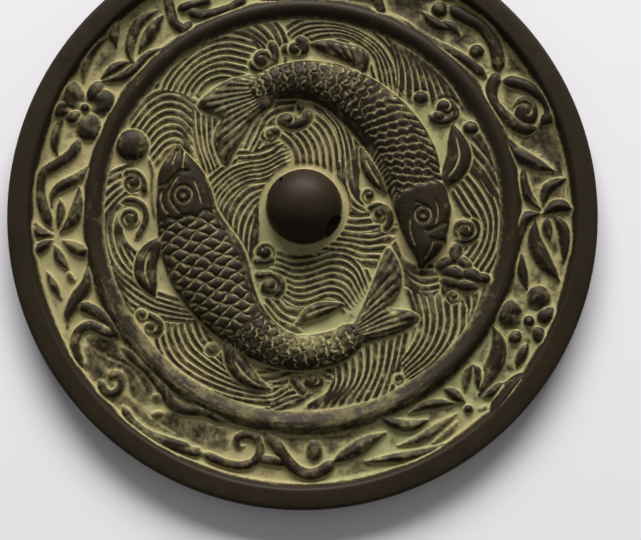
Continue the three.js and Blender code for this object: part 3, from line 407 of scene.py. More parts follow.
def smooth_run(points, step):
    """Points a step apart on a smooth curve through the given ones. Columns after x and y go along."""
    given = np.array(points, float)
    given = np.vstack([2 * given[0] - given[1], given, 2 * given[-1] - given[-2]])
    gaps = np.sqrt(np.hypot(*np.diff(given[:, :2], axis=0).T))
    knots = np.concatenate([[0], np.cumsum(gaps)])
    pieces = []
    for i in range(1, len(given) - 2):
        p0, p1, p2, p3 = given[i - 1:i + 3]
        t0, t1, t2, t3 = knots[i - 1:i + 3]
        t = np.linspace(t1, t2, 13)[:, None]
        a1 = (t1 - t) / (t1 - t0) * p0 + (t - t0) / (t1 - t0) * p1
        a2 = (t2 - t) / (t2 - t1) * p1 + (t - t1) / (t2 - t1) * p2
        a3 = (t3 - t) / (t3 - t2) * p2 + (t - t2) / (t3 - t2) * p3
        b1 = (t2 - t) / (t2 - t0) * a1 + (t - t0) / (t2 - t0) * a2
        b2 = (t3 - t) / (t3 - t1) * a2 + (t - t1) / (t3 - t1) * a3
        pieces.append((t2 - t) / (t2 - t1) * b1 + (t - t1) / (t2 - t1) * b2)
    fine = np.vstack(pieces)
    along = np.concatenate([[0], np.cumsum(np.hypot(*np.diff(fine[:, :2], axis=0).T))])
    count = max(2, int(round(along[-1] / step))) + 1
    wanted = np.linspace(0, along[-1], count)
    return np.stack([np.interp(wanted, along, column) for column in fine.T], axis=1)


def run_on(points, far):
    """The points of a line with one more at each end, a distance further on."""
    run = np.array(points, float)
    start, end = run[0] - run[1], run[-1] - run[-2]
    return np.vstack([run[0] + start * far / np.hypot(*start), run, run[-1] + end * far / np.hypot(*end)])


def smoothstep(low, high, value):
    """Goes smoothly from 0 at the first value to 1 at the second."""
    share = np.clip((value - low) / (high - low), 0, 1)
    return share * share * (3 - 2 * share)


def swell(count):
    """Factors along a leaf: slender at both ends, full in the middle."""
    return np.sin(np.pi * np.clip(np.linspace(0, 1, count), 0.03, 0.97)) ** 0.7


def round_ends(count):
    """Factors along a stroke that is full nearly all the way and drops at both ends."""
    share = np.linspace(0, 1, count)
    return np.minimum(1, 0.35 + 7 * np.minimum(share, 1 - share))


# Sections of a stroke. Each gives the height at a share of the half width from its middle.


def rounded(away):
    return np.clip(1 - away ** 2, 0, 1) ** 0.7


def keeled(away):
    return np.clip(1 - away ** 1.35, 0, 1) ** 0.8


def hollowed(away):
    return np.clip(1 - away ** 2, 0, 1)


def flat(away):
    return (away < 1).astype(np.float32)


# ---- the sheet on which the relief is carved ---------------------------------------------

# A square grid over the drawing. X and Y are its points, and R is how far they lie out.

SHEET_STEP = 0.1
SHEET_HALF = 75.6
axis = np.arange(-SHEET_HALF, SHEET_HALF + SHEET_STEP / 2, SHEET_STEP, dtype=np.float32)
X, Y = np.meshgrid(axis, axis)
R = np.hypot(X, Y)


def window(xs, ys, reach):
    """The part of the sheet that holds the given places and a reach round them."""
    limits = (np.min(xs) - reach, np.max(xs) + reach, np.min(ys) - reach, np.max(ys) + reach)
    c0, c1, r0, r1 = [min(max(int((v + SHEET_HALF) / SHEET_STEP), 0), len(axis) - 1) for v in limits]
    return slice(r0, r1 + 2), slice(c0, c1 + 2)


def read_sheet(layer, x, y):
    """Reads the sheet at drawing coordinates between its points."""
    u = np.clip((x + SHEET_HALF) / SHEET_STEP, 0, len(axis) - 1.001)
    v = np.clip((y + SHEET_HALF) / SHEET_STEP, 0, len(axis) - 1.001)
    i, j = u.astype(int), v.astype(int)
    s, t = u - i, v - j
    return ((layer[j, i] * (1 - s) + layer[j, i + 1] * s) * (1 - t)
            + (layer[j + 1, i] * (1 - s) + layer[j + 1, i + 1] * s) * t)


def blurred(layer, radius):
    """The layer softened over a radius in millimetres. A mask gives the share of it that is set."""
    layer = layer.astype(np.float32)
    reach = max(1, int(round(2.5 * radius / SHEET_STEP)))
    offsets = np.arange(-reach, reach + 1)
    weights = np.exp(-0.5 * (offsets * SHEET_STEP / radius) ** 2)
    weights = (weights / weights.sum()).astype(np.float32)
    for direction in (0, 1):
        padded = np.pad(layer, [(reach, reach) if d == direction else (0, 0) for d in (0, 1)], mode="edge")
        total = np.zeros_like(layer)
        for offset, weight in enumerate(weights):
            cut = slice(offset, offset + layer.shape[direction])
            total += weight * (padded[cut] if direction == 0 else padded[:, cut])
        layer = total
    return layer


def distance_from(mask):
    """How far each point of the sheet is from the mask, by jumps that halve each time."""
    rows, columns = np.indices(mask.shape, dtype=np.float32)
    near_row = np.where(mask, rows, 1e6).astype(np.float32)
    near_column = np.where(mask, columns, 1e6).astype(np.float32)
    best = np.where(mask, 0, 1e12).astype(np.float32)
    jump = 64
    while jump >= 1:
        for down in (-jump, 0, jump):
            for right in (-jump, 0, jump):
                row = np.roll(near_row, (down, right), (0, 1))
                column = np.roll(near_column, (down, right), (0, 1))
                away = (row - rows) ** 2 + (column - columns) ** 2
                closer = away < best
                near_row[closer] = row[closer]
                near_column[closer] = column[closer]
                best[closer] = away[closer]
        jump //= 2
    return np.sqrt(best) * SHEET_STEP


def uneven(seed, cell):
    """Smooth unevenness from -1 to 1 with lumps about one cell across."""
    random = np.random.default_rng(seed)
    count = int(2 * SHEET_HALF / cell) + 3
    lumps = random.uniform(-1, 1, (count, count))
    spot = (axis + SHEET_HALF) / cell
    low = spot.astype(int)
    share = smoothstep(0, 1, spot - low)
    rows = lumps[low] * (1 - share)[:, None] + lumps[low + 1] * share[:, None]
    return (rows[:, low] * (1 - share) + rows[:, low + 1] * share).astype(np.float32)


def raise_ridge(layer, run, half, high, section):
    """Raises a ridge along a run, with a half width and a height for each of its points."""
    rows = np.column_stack([run[:, :2], half, high])
    for a, b in zip(rows[:-1], rows[1:]):
        part = window((a[0], b[0]), (a[1], b[1]), max(a[2], b[2]) + SHEET_STEP)
        dx, dy = b[0] - a[0], b[1] - a[1]
        px, py = X[part] - a[0], Y[part] - a[1]
        share = np.clip((px * dx + py * dy) / max(dx * dx + dy * dy, 1e-9), 0, 1)
        wide = a[2] + share * (b[2] - a[2])
        across = np.hypot(px - share * dx, py - share * dy) / np.maximum(wide, 0.05)
        rise = (a[3] + share * (b[3] - a[3])) * section(across)
        np.maximum(layer[part], rise, out=layer[part])


def raise_dome(layer, x, y, along_x, along_y, high, turn=0.0, veins=0.0):
    """Raises a rounded boss. A veined one is a petal, grooved and lower towards its root."""
    part = window(x, y, max(along_x, along_y) + SHEET_STEP)
    px, py = X[part] - x, Y[part] - y
    u = (px * math.cos(turn) + py * math.sin(turn)) / along_x
    v = (py * math.cos(turn) - px * math.sin(turn)) / along_y
    away = np.hypot(u, v)
    rise = high * rounded(away)
    if veins:
        root = smoothstep(0.45, -0.9, u)
        rise *= 1 - root * (0.35 + 0.25 * np.cos(veins * 2 * v / (1.1 - 0.6 * u)))
    np.maximum(layer[part], np.where(away < 1, rise, 0), out=layer[part])


def follow(run):
    """Where the sheet lies along a run, from 0 to 1, and across it, and the run's half width there."""
    part = window(run[:, 0], run[:, 1], run[:, 2].max() + SHEET_STEP)
    px, py = X[part], Y[part]
    nearest = np.full(px.shape, 1e9, np.float32)
    along = np.zeros_like(nearest)
    across = np.zeros_like(nearest)
    half = np.full(px.shape, 0.05, np.float32)
    gone = 0.0
    for a, b in zip(run[:-1], run[1:]):
        dx, dy = b[0] - a[0], b[1] - a[1]
        length = math.hypot(dx, dy)
        share = np.clip(((px - a[0]) * dx + (py - a[1]) * dy) / length ** 2, 0, 1)
        ox, oy = px - a[0] - share * dx, py - a[1] - share * dy
        away = np.hypot(ox, oy)
        closer = away < nearest
        nearest[closer] = away[closer]
        along[closer] = (gone + share * length)[closer]
        across[closer] = (away * np.sign(dx * oy - dy * ox))[closer]
        half[closer] = (a[2] + share * (b[2] - a[2]))[closer]
        gone += length
    return part, along / gone, across, half


# ---- carving, stroke by stroke --------------------------------------------------------


def carve_leaf(layer, half, high, *points):
    """A leaf with a keel, broad in the middle and falling off to both ends."""
    run = smooth_run(points, 0.6)
    full = swell(len(run))
    raise_ridge(layer, run, (FOOT_GAIN * half + FOOT_EXTRA) * full,
                RELIEF_GAIN * high * (0.45 + 0.55 * full), keeled)


def carve_stem(layer, half, high, *points):
    """A round stroke of even width."""
    run = smooth_run(points, 0.5)
    ends = round_ends(len(run))
    raise_ridge(layer, run, half * ends, high * ends, rounded)


def cut_line(layer, half, deep, *points):
    """Cuts a rounded groove into what has been raised."""
    run = smooth_run(points, 0.3)
    ends = round_ends(len(run))
    groove = np.zeros_like(layer)
    raise_ridge(groove, run, half * (0.4 + 0.6 * ends), deep * ends, hollowed)
    layer -= np.minimum(groove, np.maximum(layer - GROOVE_FLOOR, 0))


def cut_spiral(layer, x, y, radius, start, turns):
    """Cuts a line that winds inwards."""
    share = np.linspace(0, 1, 16)
    angle = np.radians(start) + 2 * np.pi * turns * share
    away = radius * (1 - 0.72 * share)
    cut_line(layer, 0.4, 1.2, *np.column_stack([x + away * np.cos(angle), y + away * np.sin(angle)]))


def carve_flower(layer, x, y, heart, petals):
    """A blossom: petals round a boss. The broad ones are veined."""
    for degrees, distance, long, wide in petals:
        turn = math.radians(degrees)
        middle = (x + distance * math.cos(turn), y + distance * math.sin(turn))
        raise_dome(layer, *middle, PETAL_SPREAD * long, PETAL_SPREAD * wide, PETAL_HEIGHT, turn,
                   veins=4.5 if wide > 2 else 0)
    raise_dome(layer, x, y, heart, heart, PETAL_HEIGHT)


def wave_group(count, first, last, overrun=0.0):
    """The crests of a group of waves, and the part of the field that they cover.

    With an overrun every crest is longer, and one more lies on either side of the group.
    """
    wanted = np.linspace(0, 1, 4 * max(len(first), len(last)) + 1)
    edges = []
    for points in (first, last):
        fine = smooth_run(run_on(points, overrun) if overrun else points, 0.1)
        share = np.linspace(0, 1, len(fine))
        edges.append(np.stack([np.interp(wanted, share, column) for column in fine.T], axis=1))
    apart = edges[1] - edges[0]
    lines = [edges[0] + apart * k / (count - 1) for k in range(count)]
    if overrun:
        outward = apart / np.maximum(np.hypot(*apart.T), 1e-6)[:, None] * WAVE_PITCH
        lines += [edges[0] - outward, edges[1] + outward]
    spacing = np.clip(np.hypot(*apart.T) / (count - 1), *WAVE_SPACING)
    crests, ground = np.zeros_like(X), np.zeros_like(X)
    for line in lines:
        run = smooth_run(np.column_stack([line, spacing]), 0.6)
        ends = round_ends(len(run))
        wide = run[:, 2] * ends
        raise_ridge(crests, run, WAVE_SHARE * wide, WAVE_HEIGHT * ends, rounded)
        raise_ridge(ground, run, 0.75 * wide, np.ones(len(run)), flat)
    return crests, ground > 0.5


def carve_fish(layer, spine, scales):
    """A fish's body, crowned across and lower towards the tail, under its scales."""
    part, share, across, half = follow(smooth_run(spine, 0.6))
    away = np.abs(across) / half
    body = np.clip(1 - away ** 2.1, 0, 1) ** 0.6
    high = FISH_HEIGHT * np.minimum(1, 0.4 + half / 7.5) * (0.62 + 0.38 * smoothstep(0, 0.14, share))
    relief = scales(X[part], Y[part], share, across, half)
    rise = np.where(away < 1, high * body + relief * smoothstep(0, 0.45, body), 0)
    np.maximum(layer[part], rise, out=layer[part])


def carve_fan(layer, high, ray, root, *outline):
    """A fin drawn by its outline, with rays that spread from one point."""
    run = smooth_run([*outline, outline[0]], 0.6)
    part = window(run[:, 0], run[:, 1], 0.5)
    px, py = X[part], Y[part]
    inside = np.zeros(px.shape, bool)
    depth = np.full(px.shape, 1e9)
    for a, b in zip(run[:-1], run[1:]):
        dx, dy = b - a
        if dy != 0:
            inside ^= ((a[1] > py) != (b[1] > py)) & (px < a[0] + (py - a[1]) * dx / dy)
        share = np.clip(((px - a[0]) * dx + (py - a[1]) * dy) / (dx * dx + dy * dy), 0, 1)
        depth = np.minimum(depth, np.hypot(px - a[0] - share * dx, py - a[1] - share * dy))
    from_root = np.hypot(px - root[0], py - root[1])
    turn = np.degrees(np.arctan2(py - root[1], px - root[0]))
    groove = 0.42 * (0.5 + 0.5 * np.cos(2 * np.pi * turn / ray)) * smoothstep(0.3, 1.0, depth)
    groove *= smoothstep(4, 10, from_root)
    rise = high * np.clip(depth / 1.7, 0, 1) ** 0.55 - groove
    np.maximum(layer[part], np.where(inside, rise, 0), out=layer[part])


def carve_fin(layer, *spine):
    """A plain fin with a groove down its middle."""
    part, share, across, half = follow(smooth_run(spine, 0.5))
    away = np.abs(across) / half
    rise = FIN_HEIGHT * np.minimum(1, 0.45 + half / 4) * np.clip(1 - away ** 2.6, 0, 1) ** 0.6
    rise -= 0.5 * np.exp(-(across / 0.32) ** 2) * smoothstep(0.15, 0.35, share) * smoothstep(0.95, 0.7, share)
    np.maximum(layer[part], np.where(away < 1, np.maximum(rise, 0), 0), out=layer[part])


def carve_eye(layer, x, y, lid, pupil):
    """An eye in the head's own surface: a low dome in a ring groove, with a hollow pupil."""
    part = window(x, y, lid + 1.5)
    away = np.hypot(X[part] - x, Y[part] - y)
    layer[part] += 0.35 * rounded(away / lid) - 0.6 * np.exp(-((away - lid) / 0.38) ** 2)
    layer[part] -= 0.85 * np.exp(-(away / pupil) ** 2)


# ---- scales -----------------------------------------------------------------------------


def cushions(p, q, sharp):
    """Rounded cells of a unit lattice, 1 in the middle of a cell and 0 in the grooves."""
    edge = np.minimum(0.5 - np.abs(p - np.round(p)), 0.5 - np.abs(q - np.round(q)))
    return np.clip(edge * 2 / sharp, 0, 1) ** 0.6


def shingles(along, across, row, width):
    """Rows of overlapping scales. Each stands up at its rounded edge and dips under the next."""
    index = np.floor(along / row)
    cell = across / width + 0.5 * np.mod(index, 2) + 0.08 * np.sin(index * 2.1)
    u = (cell - np.round(cell)) * 2
    v = along / row - index - 0.26 * u * u
    return smoothstep(0.0, 0.14, v) * (1 - 0.9 * np.clip(v, 0, 1)) * (1 - 0.55 * np.abs(u) ** 3)


def small_scales(x, y, along, across, row, width):
    """Small crowded scales in rows that wander."""
    along = along + 0.42 * np.sin(1.9 * x + 0.8 * y) + 0.3 * np.sin(2.7 * y - 1.3 * x + 1)
    across = across + 0.4 * np.sin(1.6 * y + 0.9 * x + 2) + 0.3 * np.sin(2.9 * x - 0.7 * y)
    return shingles(along, across, row, width)


def under_gills(relief, share, across, edge, scallop):
    """Lays the head over the first scales with a scalloped edge."""
    line = edge + 0.008 * np.abs(np.sin(np.pi * across / scallop))
    head = smoothstep(line, line + 0.012, share)
    return relief * (1 - head) + 0.85 * head


def upper_scales(x, y, share, across, half):
    """Shingled scales in front, small ones at the tail, strokes on the belly and points on the back."""
    away = across / half
    along = share * UPPER_LENGTH
    slant = along - 0.42 * across + 0.012 * across ** 2 + 0.15 * np.sin(across * 2.1 + along * 0.7)
    front = 0.75 * shingles(slant, across + 0.2 * np.sin(along), 2.15, 2.5)
    tail = 0.8 * small_scales(x, y, along, across, 2.0, 1.75)
    mix = smoothstep(0.38, 0.44, share + 0.004 * across)
    relief = front * mix + tail * (1 - mix)

    belly = smoothstep(-0.64, -0.72, away)
    strokes = 0.45 * (0.5 + 0.5 * np.cos(2 * np.pi * (along + 0.5 * across) / 1.5))
    strokes *= smoothstep(0.5, 0.58, share)
    relief = relief * (1 - belly) + belly * strokes

    back = smoothstep(0.62, 0.7, away) * smoothstep(0.4, 0.46, share)
    points = 0.75 * np.abs(np.cos(np.pi * (along - 0.9 * across) / 2.2)) ** 0.6
    relief = relief * (1 - back) + back * points
    return under_gills(relief, share - 0.022 * away ** 2, across, 0.722, 3.4)


def lower_scales(x, y, share, across, half):
    """Large cushioned scales on a slanting lattice in front, small ones at the tail, a plain belly."""
    row_x, row_y = 2.9, -1.2
    column_x, column_y = -2.4, -2.15
    area = row_x * column_y - column_x * row_y
    dx = x + 27.9 + 0.3 * np.sin(y * 0.9) + 0.12 * np.sin(y * 2.3 + x)
    dy = y + 12.2 + 0.3 * np.sin(x * 0.8) + 0.12 * np.sin(x * 2.1 - y)
    p = (dx * column_y - dy * column_x) / area
    q = (dy * row_x - dx * row_y) / area
    front = 0.65 * cushions(p, q, 0.6)
    tail = 0.8 * small_scales(x, y, share * LOWER_LENGTH, across, 2.1, 1.5)
    mix = smoothstep(0.34, 0.4, share)
    relief = front * mix + tail * (1 - mix)
    relief *= 1 - smoothstep(-0.76, -0.84, across / half)
    return under_gills(relief, share, across, 0.765, 3.0)


# ---- the whole relief ------------------------------------------------------------------------


def blank_profile():
    """Height of the plain blank: ground, ring and rim."""
    profile = [(0, GROUND), (RING_INNER_FOOT, GROUND), (RING_INNER, RING_TOP - 0.35),
               ((RING_INNER + RING_OUTER) / 2, RING_TOP + 0.15), (RING_OUTER, RING_TOP - 0.25),
               (RING_OUTER_FOOT, GROUND), (RIM_FOOT, GROUND), (RIM_INNER, RIM_TOP)]
    return np.interp(R, *zip(*profile)).astype(np.float32)


def knob_dome():
    """How many knob radii each point is from the knob's middle, and the knob's height there."""
    away = np.hypot(X - KNOB_CENTRE[0], Y - KNOB_CENTRE[1]) / KNOB_RADIUS
    return away, KNOB_HEIGHT * np.sqrt(np.clip(1 - away ** 2, 0, 1))


def carve_forms():
    """The border's plants, the curls of the field, and the fishes with their fins and heads."""
    forms = np.zeros_like(X)
    for leaf in [*LEAVES, RIM_SWELLING]:
        carve_leaf(forms, *leaf)
    for half, high, *points in STEMS:
        carve_stem(forms, FOOT_GAIN * half + FOOT_EXTRA, RELIEF_GAIN * high, *points)
    for half, high, *points in CURLS:
        carve_stem(forms, CURL_SPREAD * half, high, *points)
    for boss in BOSSES:
        raise_dome(forms, *boss)
    for spiral in SPIRALS:
        cut_spiral(forms, *spiral)
    for flower in FLOWERS:
        carve_flower(forms, *flower)
    for fin in FINS:
        carve_fin(forms, *fin)
    for fan in FANS:
        carve_fan(forms, *fan)
    carve_fish(forms, UPPER_FISH, upper_scales)
    carve_fish(forms, LOWER_FISH, lower_scales)
    for x, y, along, across, high, turn in LOBES:
        raise_dome(forms, x, y, along, across, high, math.radians(turn))
    for cut in HEAD_CUTS:
        cut_line(forms, *cut)
    for eye in EYES:
        carve_eye(forms, *eye)
    return forms


def carve_worn_mass():
    """The worn leaves, rubbed low and pitted."""
    worn = np.zeros_like(X)
    for swelling in WORN_MASS:
        carve_stem(worn, *swelling)
    for fold in WORN_FOLDS:
        cut_line(worn, *fold)
    return worn + 0.25 * smoothstep(0.1, 0.5, worn) * uneven(7, 1.6)


def carve_groups(field):
    """The drawn groups of waves, and the ground that they leave free.

    Each group has the ground that it is drawn on. Then the groups run on, in turn, over
    what is free, so that no crest breaks off where two groups meet.
    """
    waves = np.zeros_like(X)
    owner = np.full(X.shape, -1, np.int16)
    for index, group in enumerate(WAVES):
        owner[field & (owner < 0) & wave_group(*group)[1]] = index
    for index, group in enumerate(WAVES):
        crests, ground = wave_group(*group, WAVE_OVERRUN)
        mine = (owner == index) | (field & (owner < 0) & ground)
        waves[mine] = crests[mine]
        owner[mine] = index
    return waves, field & (owner < 0)


def ripples(free, forms):
    """Crests that run round the forms and fill the wider stretches of free ground."""
    away = distance_from(~free | (forms > 0.1))
    pitches = away / WAVE_PITCH
    crests = WAVE_HEIGHT * rounded(np.abs(pitches - np.round(pitches)) / WAVE_SHARE)
    crests *= smoothstep(0.3, 0.7, pitches)
    return crests * smoothstep(0.02, 0.1, blurred(away > 3.2, 2.0))


def carve_waves(forms, knob, knob_away):
    """The waves of the field, cleared of crumbs, with bare ground round knob, forms and ring."""
    waves, free = carve_groups((R < RING_INNER_FOOT + 1) & (knob_away > KNOB_MOAT))
    waves = np.where(free, ripples(free, forms), waves)
    waves *= smoothstep(0.16, 0.27, blurred(waves > 0.25, 1.1))
    waves *= 1 - smoothstep(0.04, 0.3, blurred(np.maximum(forms, knob) > 0.1, 0.35))
    waves *= smoothstep(RING_INNER_FOOT + 0.9, RING_INNER_FOOT + 0.3, R)
    return waves


def lay_paste(height, raised, forms, worn, waves):
    """Verdigris and polishing dust: 0 on rubbed metal, 1 where they fill the ground between forms."""
    bare = np.maximum(smoothstep(0, 1.15, blurred(raised, 0.12)), 0.97 * smoothstep(0.32, 0.57, waves))

    # Thinner on the border's open ground and worn leaves. Towards the top and the right the colour is also
    # made darker.
    open_ground = smoothstep(0.3, 0.02, blurred(raised > 0.2, 0.8))
    border = smoothstep(RING_OUTER_FOOT - 1, RING_OUTER_FOOT, R)
    amount = 0.92 - border * (0.43 * open_ground + 0.3 * smoothstep(0.05, 0.4, worn))
    amount -= 0.13 * smoothstep(10, 45, Y) + 0.42 * smoothstep(0, 75, X + 0.4 * Y)
    amount += 0.1 * smoothstep(30, 75, -X - 0.7 * Y)
    amount += 0.24 * uneven(11, 9) + 0.16 * uneven(12, 2.6) + 0.15 * uneven(13, 0.8)

    # Grooves in the forms hold it too, less so on the upper fish, which is rubbed cleaner.
    rubbed = smoothstep(1.8, 2.4, forms) * smoothstep(-5, 0, Y + 0.45 * np.maximum(X, 0))
    in_grooves = (0.85 - 0.27 * rubbed) * smoothstep(0.02, 0.16, blurred(height, 0.4) - height)
    return np.maximum((1 - bare) * np.clip(amount, 0.1, 1.1), in_grooves)


def lay_film(forms, knob):
    """A thin film of dust on high parts, patchy, thick in a few places and absent on the knob. On the ring it
    is thinner at the top and thicker at the bottom, which is partly a painted highlight on the ring's lit
    lower side.
    """
    on_ring = smoothstep(RING_INNER_FOOT, RING_INNER, R) * smoothstep(RING_OUTER_FOOT, RING_OUTER, R)
    film = 0.18 + 0.26 * uneven(14, 2.3) + 0.2 * uneven(15, 0.8)
    # Real dust mixed with painted light: on the ring the film runs from thin at the top to thicker at the
    # bottom, where the inner slope faces the lamp. Towards the upper right the film is made thinner, so that
    # part is darker.
    film -= on_ring * (0.2 - 0.27 * smoothstep(15, 50, -Y - 0.3 * X)) + 0.12 * smoothstep(0, 60, X + Y)
    film *= smoothstep(RIM_INNER, RIM_FOOT, R) * (0.3 + 0.7 * smoothstep(2.4, 1.6, forms))
    speckle = 0.7 + 0.5 * uneven(16, 0.9)
    for x, y, wide, thick in DUSTY:
        part = window(x, y, 2.5 * wide)
        away = np.hypot(X[part] - x, Y[part] - y) / wide
        film[part] += thick * speckle[part] * np.exp(-away ** 2)
    return np.clip(np.where(knob < 0.5, film, 0), 0, 0.6)


def carved_sheet():
    """Height of the carved side, and how much verdigris and dust lies on it, which on the ring is partly
    painted light.
    """
    blank = blurred(blank_profile(), 0.5)
    forms = carve_forms()
    worn = carve_worn_mass()
    knob_away, knob = knob_dome()
    waves = carve_waves(forms, knob, knob_away)

    relief = blurred(np.maximum(np.maximum(forms + 0.6 * worn, waves), knob), 0.1)
    skin = 0.04 * uneven(2, 4.3) + 0.025 * uneven(1, 1.1) * smoothstep(0.1, 0.6, relief)
    height = np.maximum(blank, GROUND + relief) + skin
    raised = np.maximum(np.maximum(forms, knob), blank - GROUND)
    return height, np.maximum(lay_paste(height, raised, forms, worn, waves), lay_film(forms, knob))


# ---- the casting -------------------------------------------------------------------------------


def added(name):
    """Names the object that was just added."""
    piece = bpy.context.object
    piece.name = name
    return piece


def coordinates(piece):
    values = np.empty(len(piece.data.vertices) * 3)
    piece.data.vertices.foreach_get("co", values)
    return values.reshape(-1, 3)


def place(piece, values):
    piece.data.vertices.foreach_set("co", values.ravel())
    piece.data.update()


def apply(piece, kind, **settings):
    """Adds a modifier and applies it."""
    modifier = piece.modifiers.new(kind.title(), kind)
    for key, value in settings.items():
        setattr(modifier, key, value)
    bpy.ops.object.modifier_apply(modifier=modifier.name)


def draw_out(piece):
    """Draws a square grid out to a flat disc, so that its rows follow the ring and the rim."""
    square = coordinates(piece)
    a, b = square[:, 0], square[:, 1]
    wide = np.abs(a) >= np.abs(b)
    radius = np.where(wide, a, b)
    other = np.where(wide, b, a)
    angle = np.pi / 4 * np.divide(other, radius, out=np.zeros_like(other), where=radius != 0)
    angle = np.where(wide, angle, np.pi / 2 - angle)
    away = radius * (FLAT_RADIUS * MM)
    place(piece, np.column_stack([away * np.cos(angle), away * np.sin(angle), np.full(len(a), RIM_TOP * MM)]))


def in_order(piece):
    """Lists the faces in a fixed order, each from its first point, so that the piece is
    thinned in the same way every time."""
    faces = []
    for face in piece.data.polygons:
        corners = list(face.vertices)
        first = corners.index(min(corners))
        faces.append(corners[first:] + corners[:first])
    points, unordered = coordinates(piece), piece.data
    piece.data = bpy.data.meshes.new(piece.name)
    piece.data.from_pydata(points, [], sorted(faces))
    bpy.data.meshes.remove(unordered)


def cast_blank():
    """A disc at the height of the rim, with rounded edges, straight sides and a flat underside."""
    bpy.ops.object.select_all(action="DESELECT")
    bpy.ops.mesh.primitive_grid_add(x_subdivisions=2 * MESH_RINGS, y_subdivisions=2 * MESH_RINGS, size=2)
    piece = added("mirror_casting")
    draw_out(piece)

    bpy.ops.object.mode_set(mode="EDIT")
    bpy.ops.mesh.select_mode(type="EDGE")
    bpy.ops.mesh.select_all(action="DESELECT")
    bpy.ops.mesh.select_non_manifold()
    side = [(FLAT_RADIUS + 0.55, RIM_TOP - 0.18), (FLAT_RADIUS + 0.9, RIM_TOP - 0.55),
            (DISC_RADIUS, RIM_TOP - EDGE_ROUND - 0.2), (DISC_RADIUS, EDGE_ROUND),
            (FLAT_RADIUS + 0.75, 0.3), (FLAT_RADIUS + 0.2, 0)]
    last_radius, last_height = FLAT_RADIUS, RIM_TOP
    for radius, high in side:
        drop = (0, 0, (high - last_height) * MM)
        bpy.ops.mesh.extrude_edges_move(TRANSFORM_OT_translate={"value": drop})
        bpy.ops.transform.resize(value=(radius / last_radius, radius / last_radius, 1),
                                 center_override=(0, 0, 0))
        last_radius, last_height = radius, high
    bpy.ops.mesh.edge_face_add()
    bpy.ops.mesh.select_all(action="SELECT")
    bpy.ops.mesh.normals_make_consistent(inside=False)
    bpy.ops.object.mode_set(mode="OBJECT")
    in_order(piece)
    return piece


def carve_top(piece, height):
    """Gives the flat top of the blank the height of the sheet."""
    points = coordinates(piece)
    inside = np.hypot(points[:, 0], points[:, 1]) < (FLAT_RADIUS + 0.05) * MM
    top = inside & (points[:, 2] > (RIM_TOP - 0.05) * MM)
    u, v = to_drawing(points[top, 0] / MM, points[top, 1] / MM)
    points[top, 2] = read_sheet(height, u, v) * MM
    place(piece, points)


def cord_hole():
    """An arched bar that is as high and wide as the hole for the cord."""
    long = 2 * KNOB_RADIUS + 2
    middle = GROUND + HOLE_SILL + HOLE_HEIGHT / 2
    x, y = to_part(*KNOB_CENTRE)
    bpy.ops.object.select_all(action="DESELECT")
    bpy.ops.mesh.primitive_cube_add(size=1, location=(x * MM, y * MM, middle * MM),
                                    scale=(long * MM, HOLE_WIDTH * MM, HOLE_HEIGHT * MM))
    bar = added("cord_hole_bar")
    bpy.ops.object.transform_apply(location=True, rotation=True, scale=True)
    bpy.ops.object.mode_set(mode="EDIT")
    bpy.ops.mesh.select_all(action="DESELECT")
    bpy.ops.object.mode_set(mode="OBJECT")
    for edge in bar.data.edges:
        ends = [bar.data.vertices[i].co for i in edge.vertices]
        lies_high = min(p.z for p in ends) > middle * MM
        edge.select = lies_high and abs(ends[0].x - ends[1].x) > long * MM / 2
    bpy.ops.object.mode_set(mode="EDIT")
    bpy.ops.mesh.select_mode(type="EDGE")
    bpy.ops.mesh.bevel(offset=(HOLE_WIDTH / 2 - 0.02) * MM, segments=12, profile=0.5)
    bpy.ops.object.mode_set(mode="OBJECT")
    return bar


def lay_on(piece, paste_and_painted_light):
    """Stores the verdigris with the mesh. The hole for the cord and its mouths are left bare and dark, as
    painted shade.
    """
    points = coordinates(piece) / MM
    u, v = to_drawing(points[:, 0], points[:, 1])
    values = read_sheet(paste_and_painted_light, u, v)
    values[points[:, 2] < SIDE_HEIGHT] = 0
    # Painted shade: no verdigris in the hole for the cord and at its mouths, so that they read dark like a
    # hole in shadow.
    under_knob = np.hypot(u - KNOB_CENTRE[0], v - KNOB_CENTRE[1]) < KNOB_RADIUS + 0.15
    from_hole = np.abs(points[:, 1] - to_part(*KNOB_CENTRE)[1])
    values[under_knob & (from_hole < HOLE_WIDTH / 2 + 0.2)] = 0
    stored = piece.data.attributes.new("paste_and_painted_light", "FLOAT", "POINT")
    stored.data.foreach_set("value", values.astype(np.float32))


def casting():
    """The mirror: the blank carved, thinned to its budget of faces and pierced for the cord."""
    height, paste_and_painted_light = carved_sheet()
    piece = cast_blank()
    carve_top(piece, height)
    apply(piece, "DECIMATE", decimate_type="COLLAPSE", use_collapse_triangulate=True,
          ratio=FACE_BUDGET / (8 * MESH_RINGS ** 2))
    bar = cord_hole()
    bpy.ops.object.select_all(action="DESELECT")
    piece.select_set(True)
    bpy.context.view_layer.objects.active = piece
    apply(piece, "BOOLEAN", operation="DIFFERENCE", object=bar, solver="EXACT")
    bpy.data.objects.remove(bar)
    apply(piece, "TRIANGULATE")
    bpy.ops.object.shade_smooth_by_angle(angle=SHARP_ANGLE)
    lay_on(piece, paste_and_painted_light)
    return piece


# ---- materials -----------------------------------------------------------------------------------

GRIT_SIZE = 1.111        # pits of the cast skin, drawn several times too coarse so that they show
CLOUD_SIZE = 14.29       # lighter and darker patches of the patina
STAIN_SIZE = 38.46       # stretches where the verdigris is greener
MIX_FIRST, MIX_SECOND, MIX_RESULT = 6, 7, 2     # the sockets of a mix that carry colours


def linear(hex_colour):
    """An sRGB hex colour as linear values."""
    values = [int(hex_colour[i:i + 2], 16) / 255 for i in (1, 3, 5)]
    return tuple(v / 12.92 if v <= 0.04045 else ((v + 0.055) / 1.055) ** 2.4 for v in values) + (1.0,)


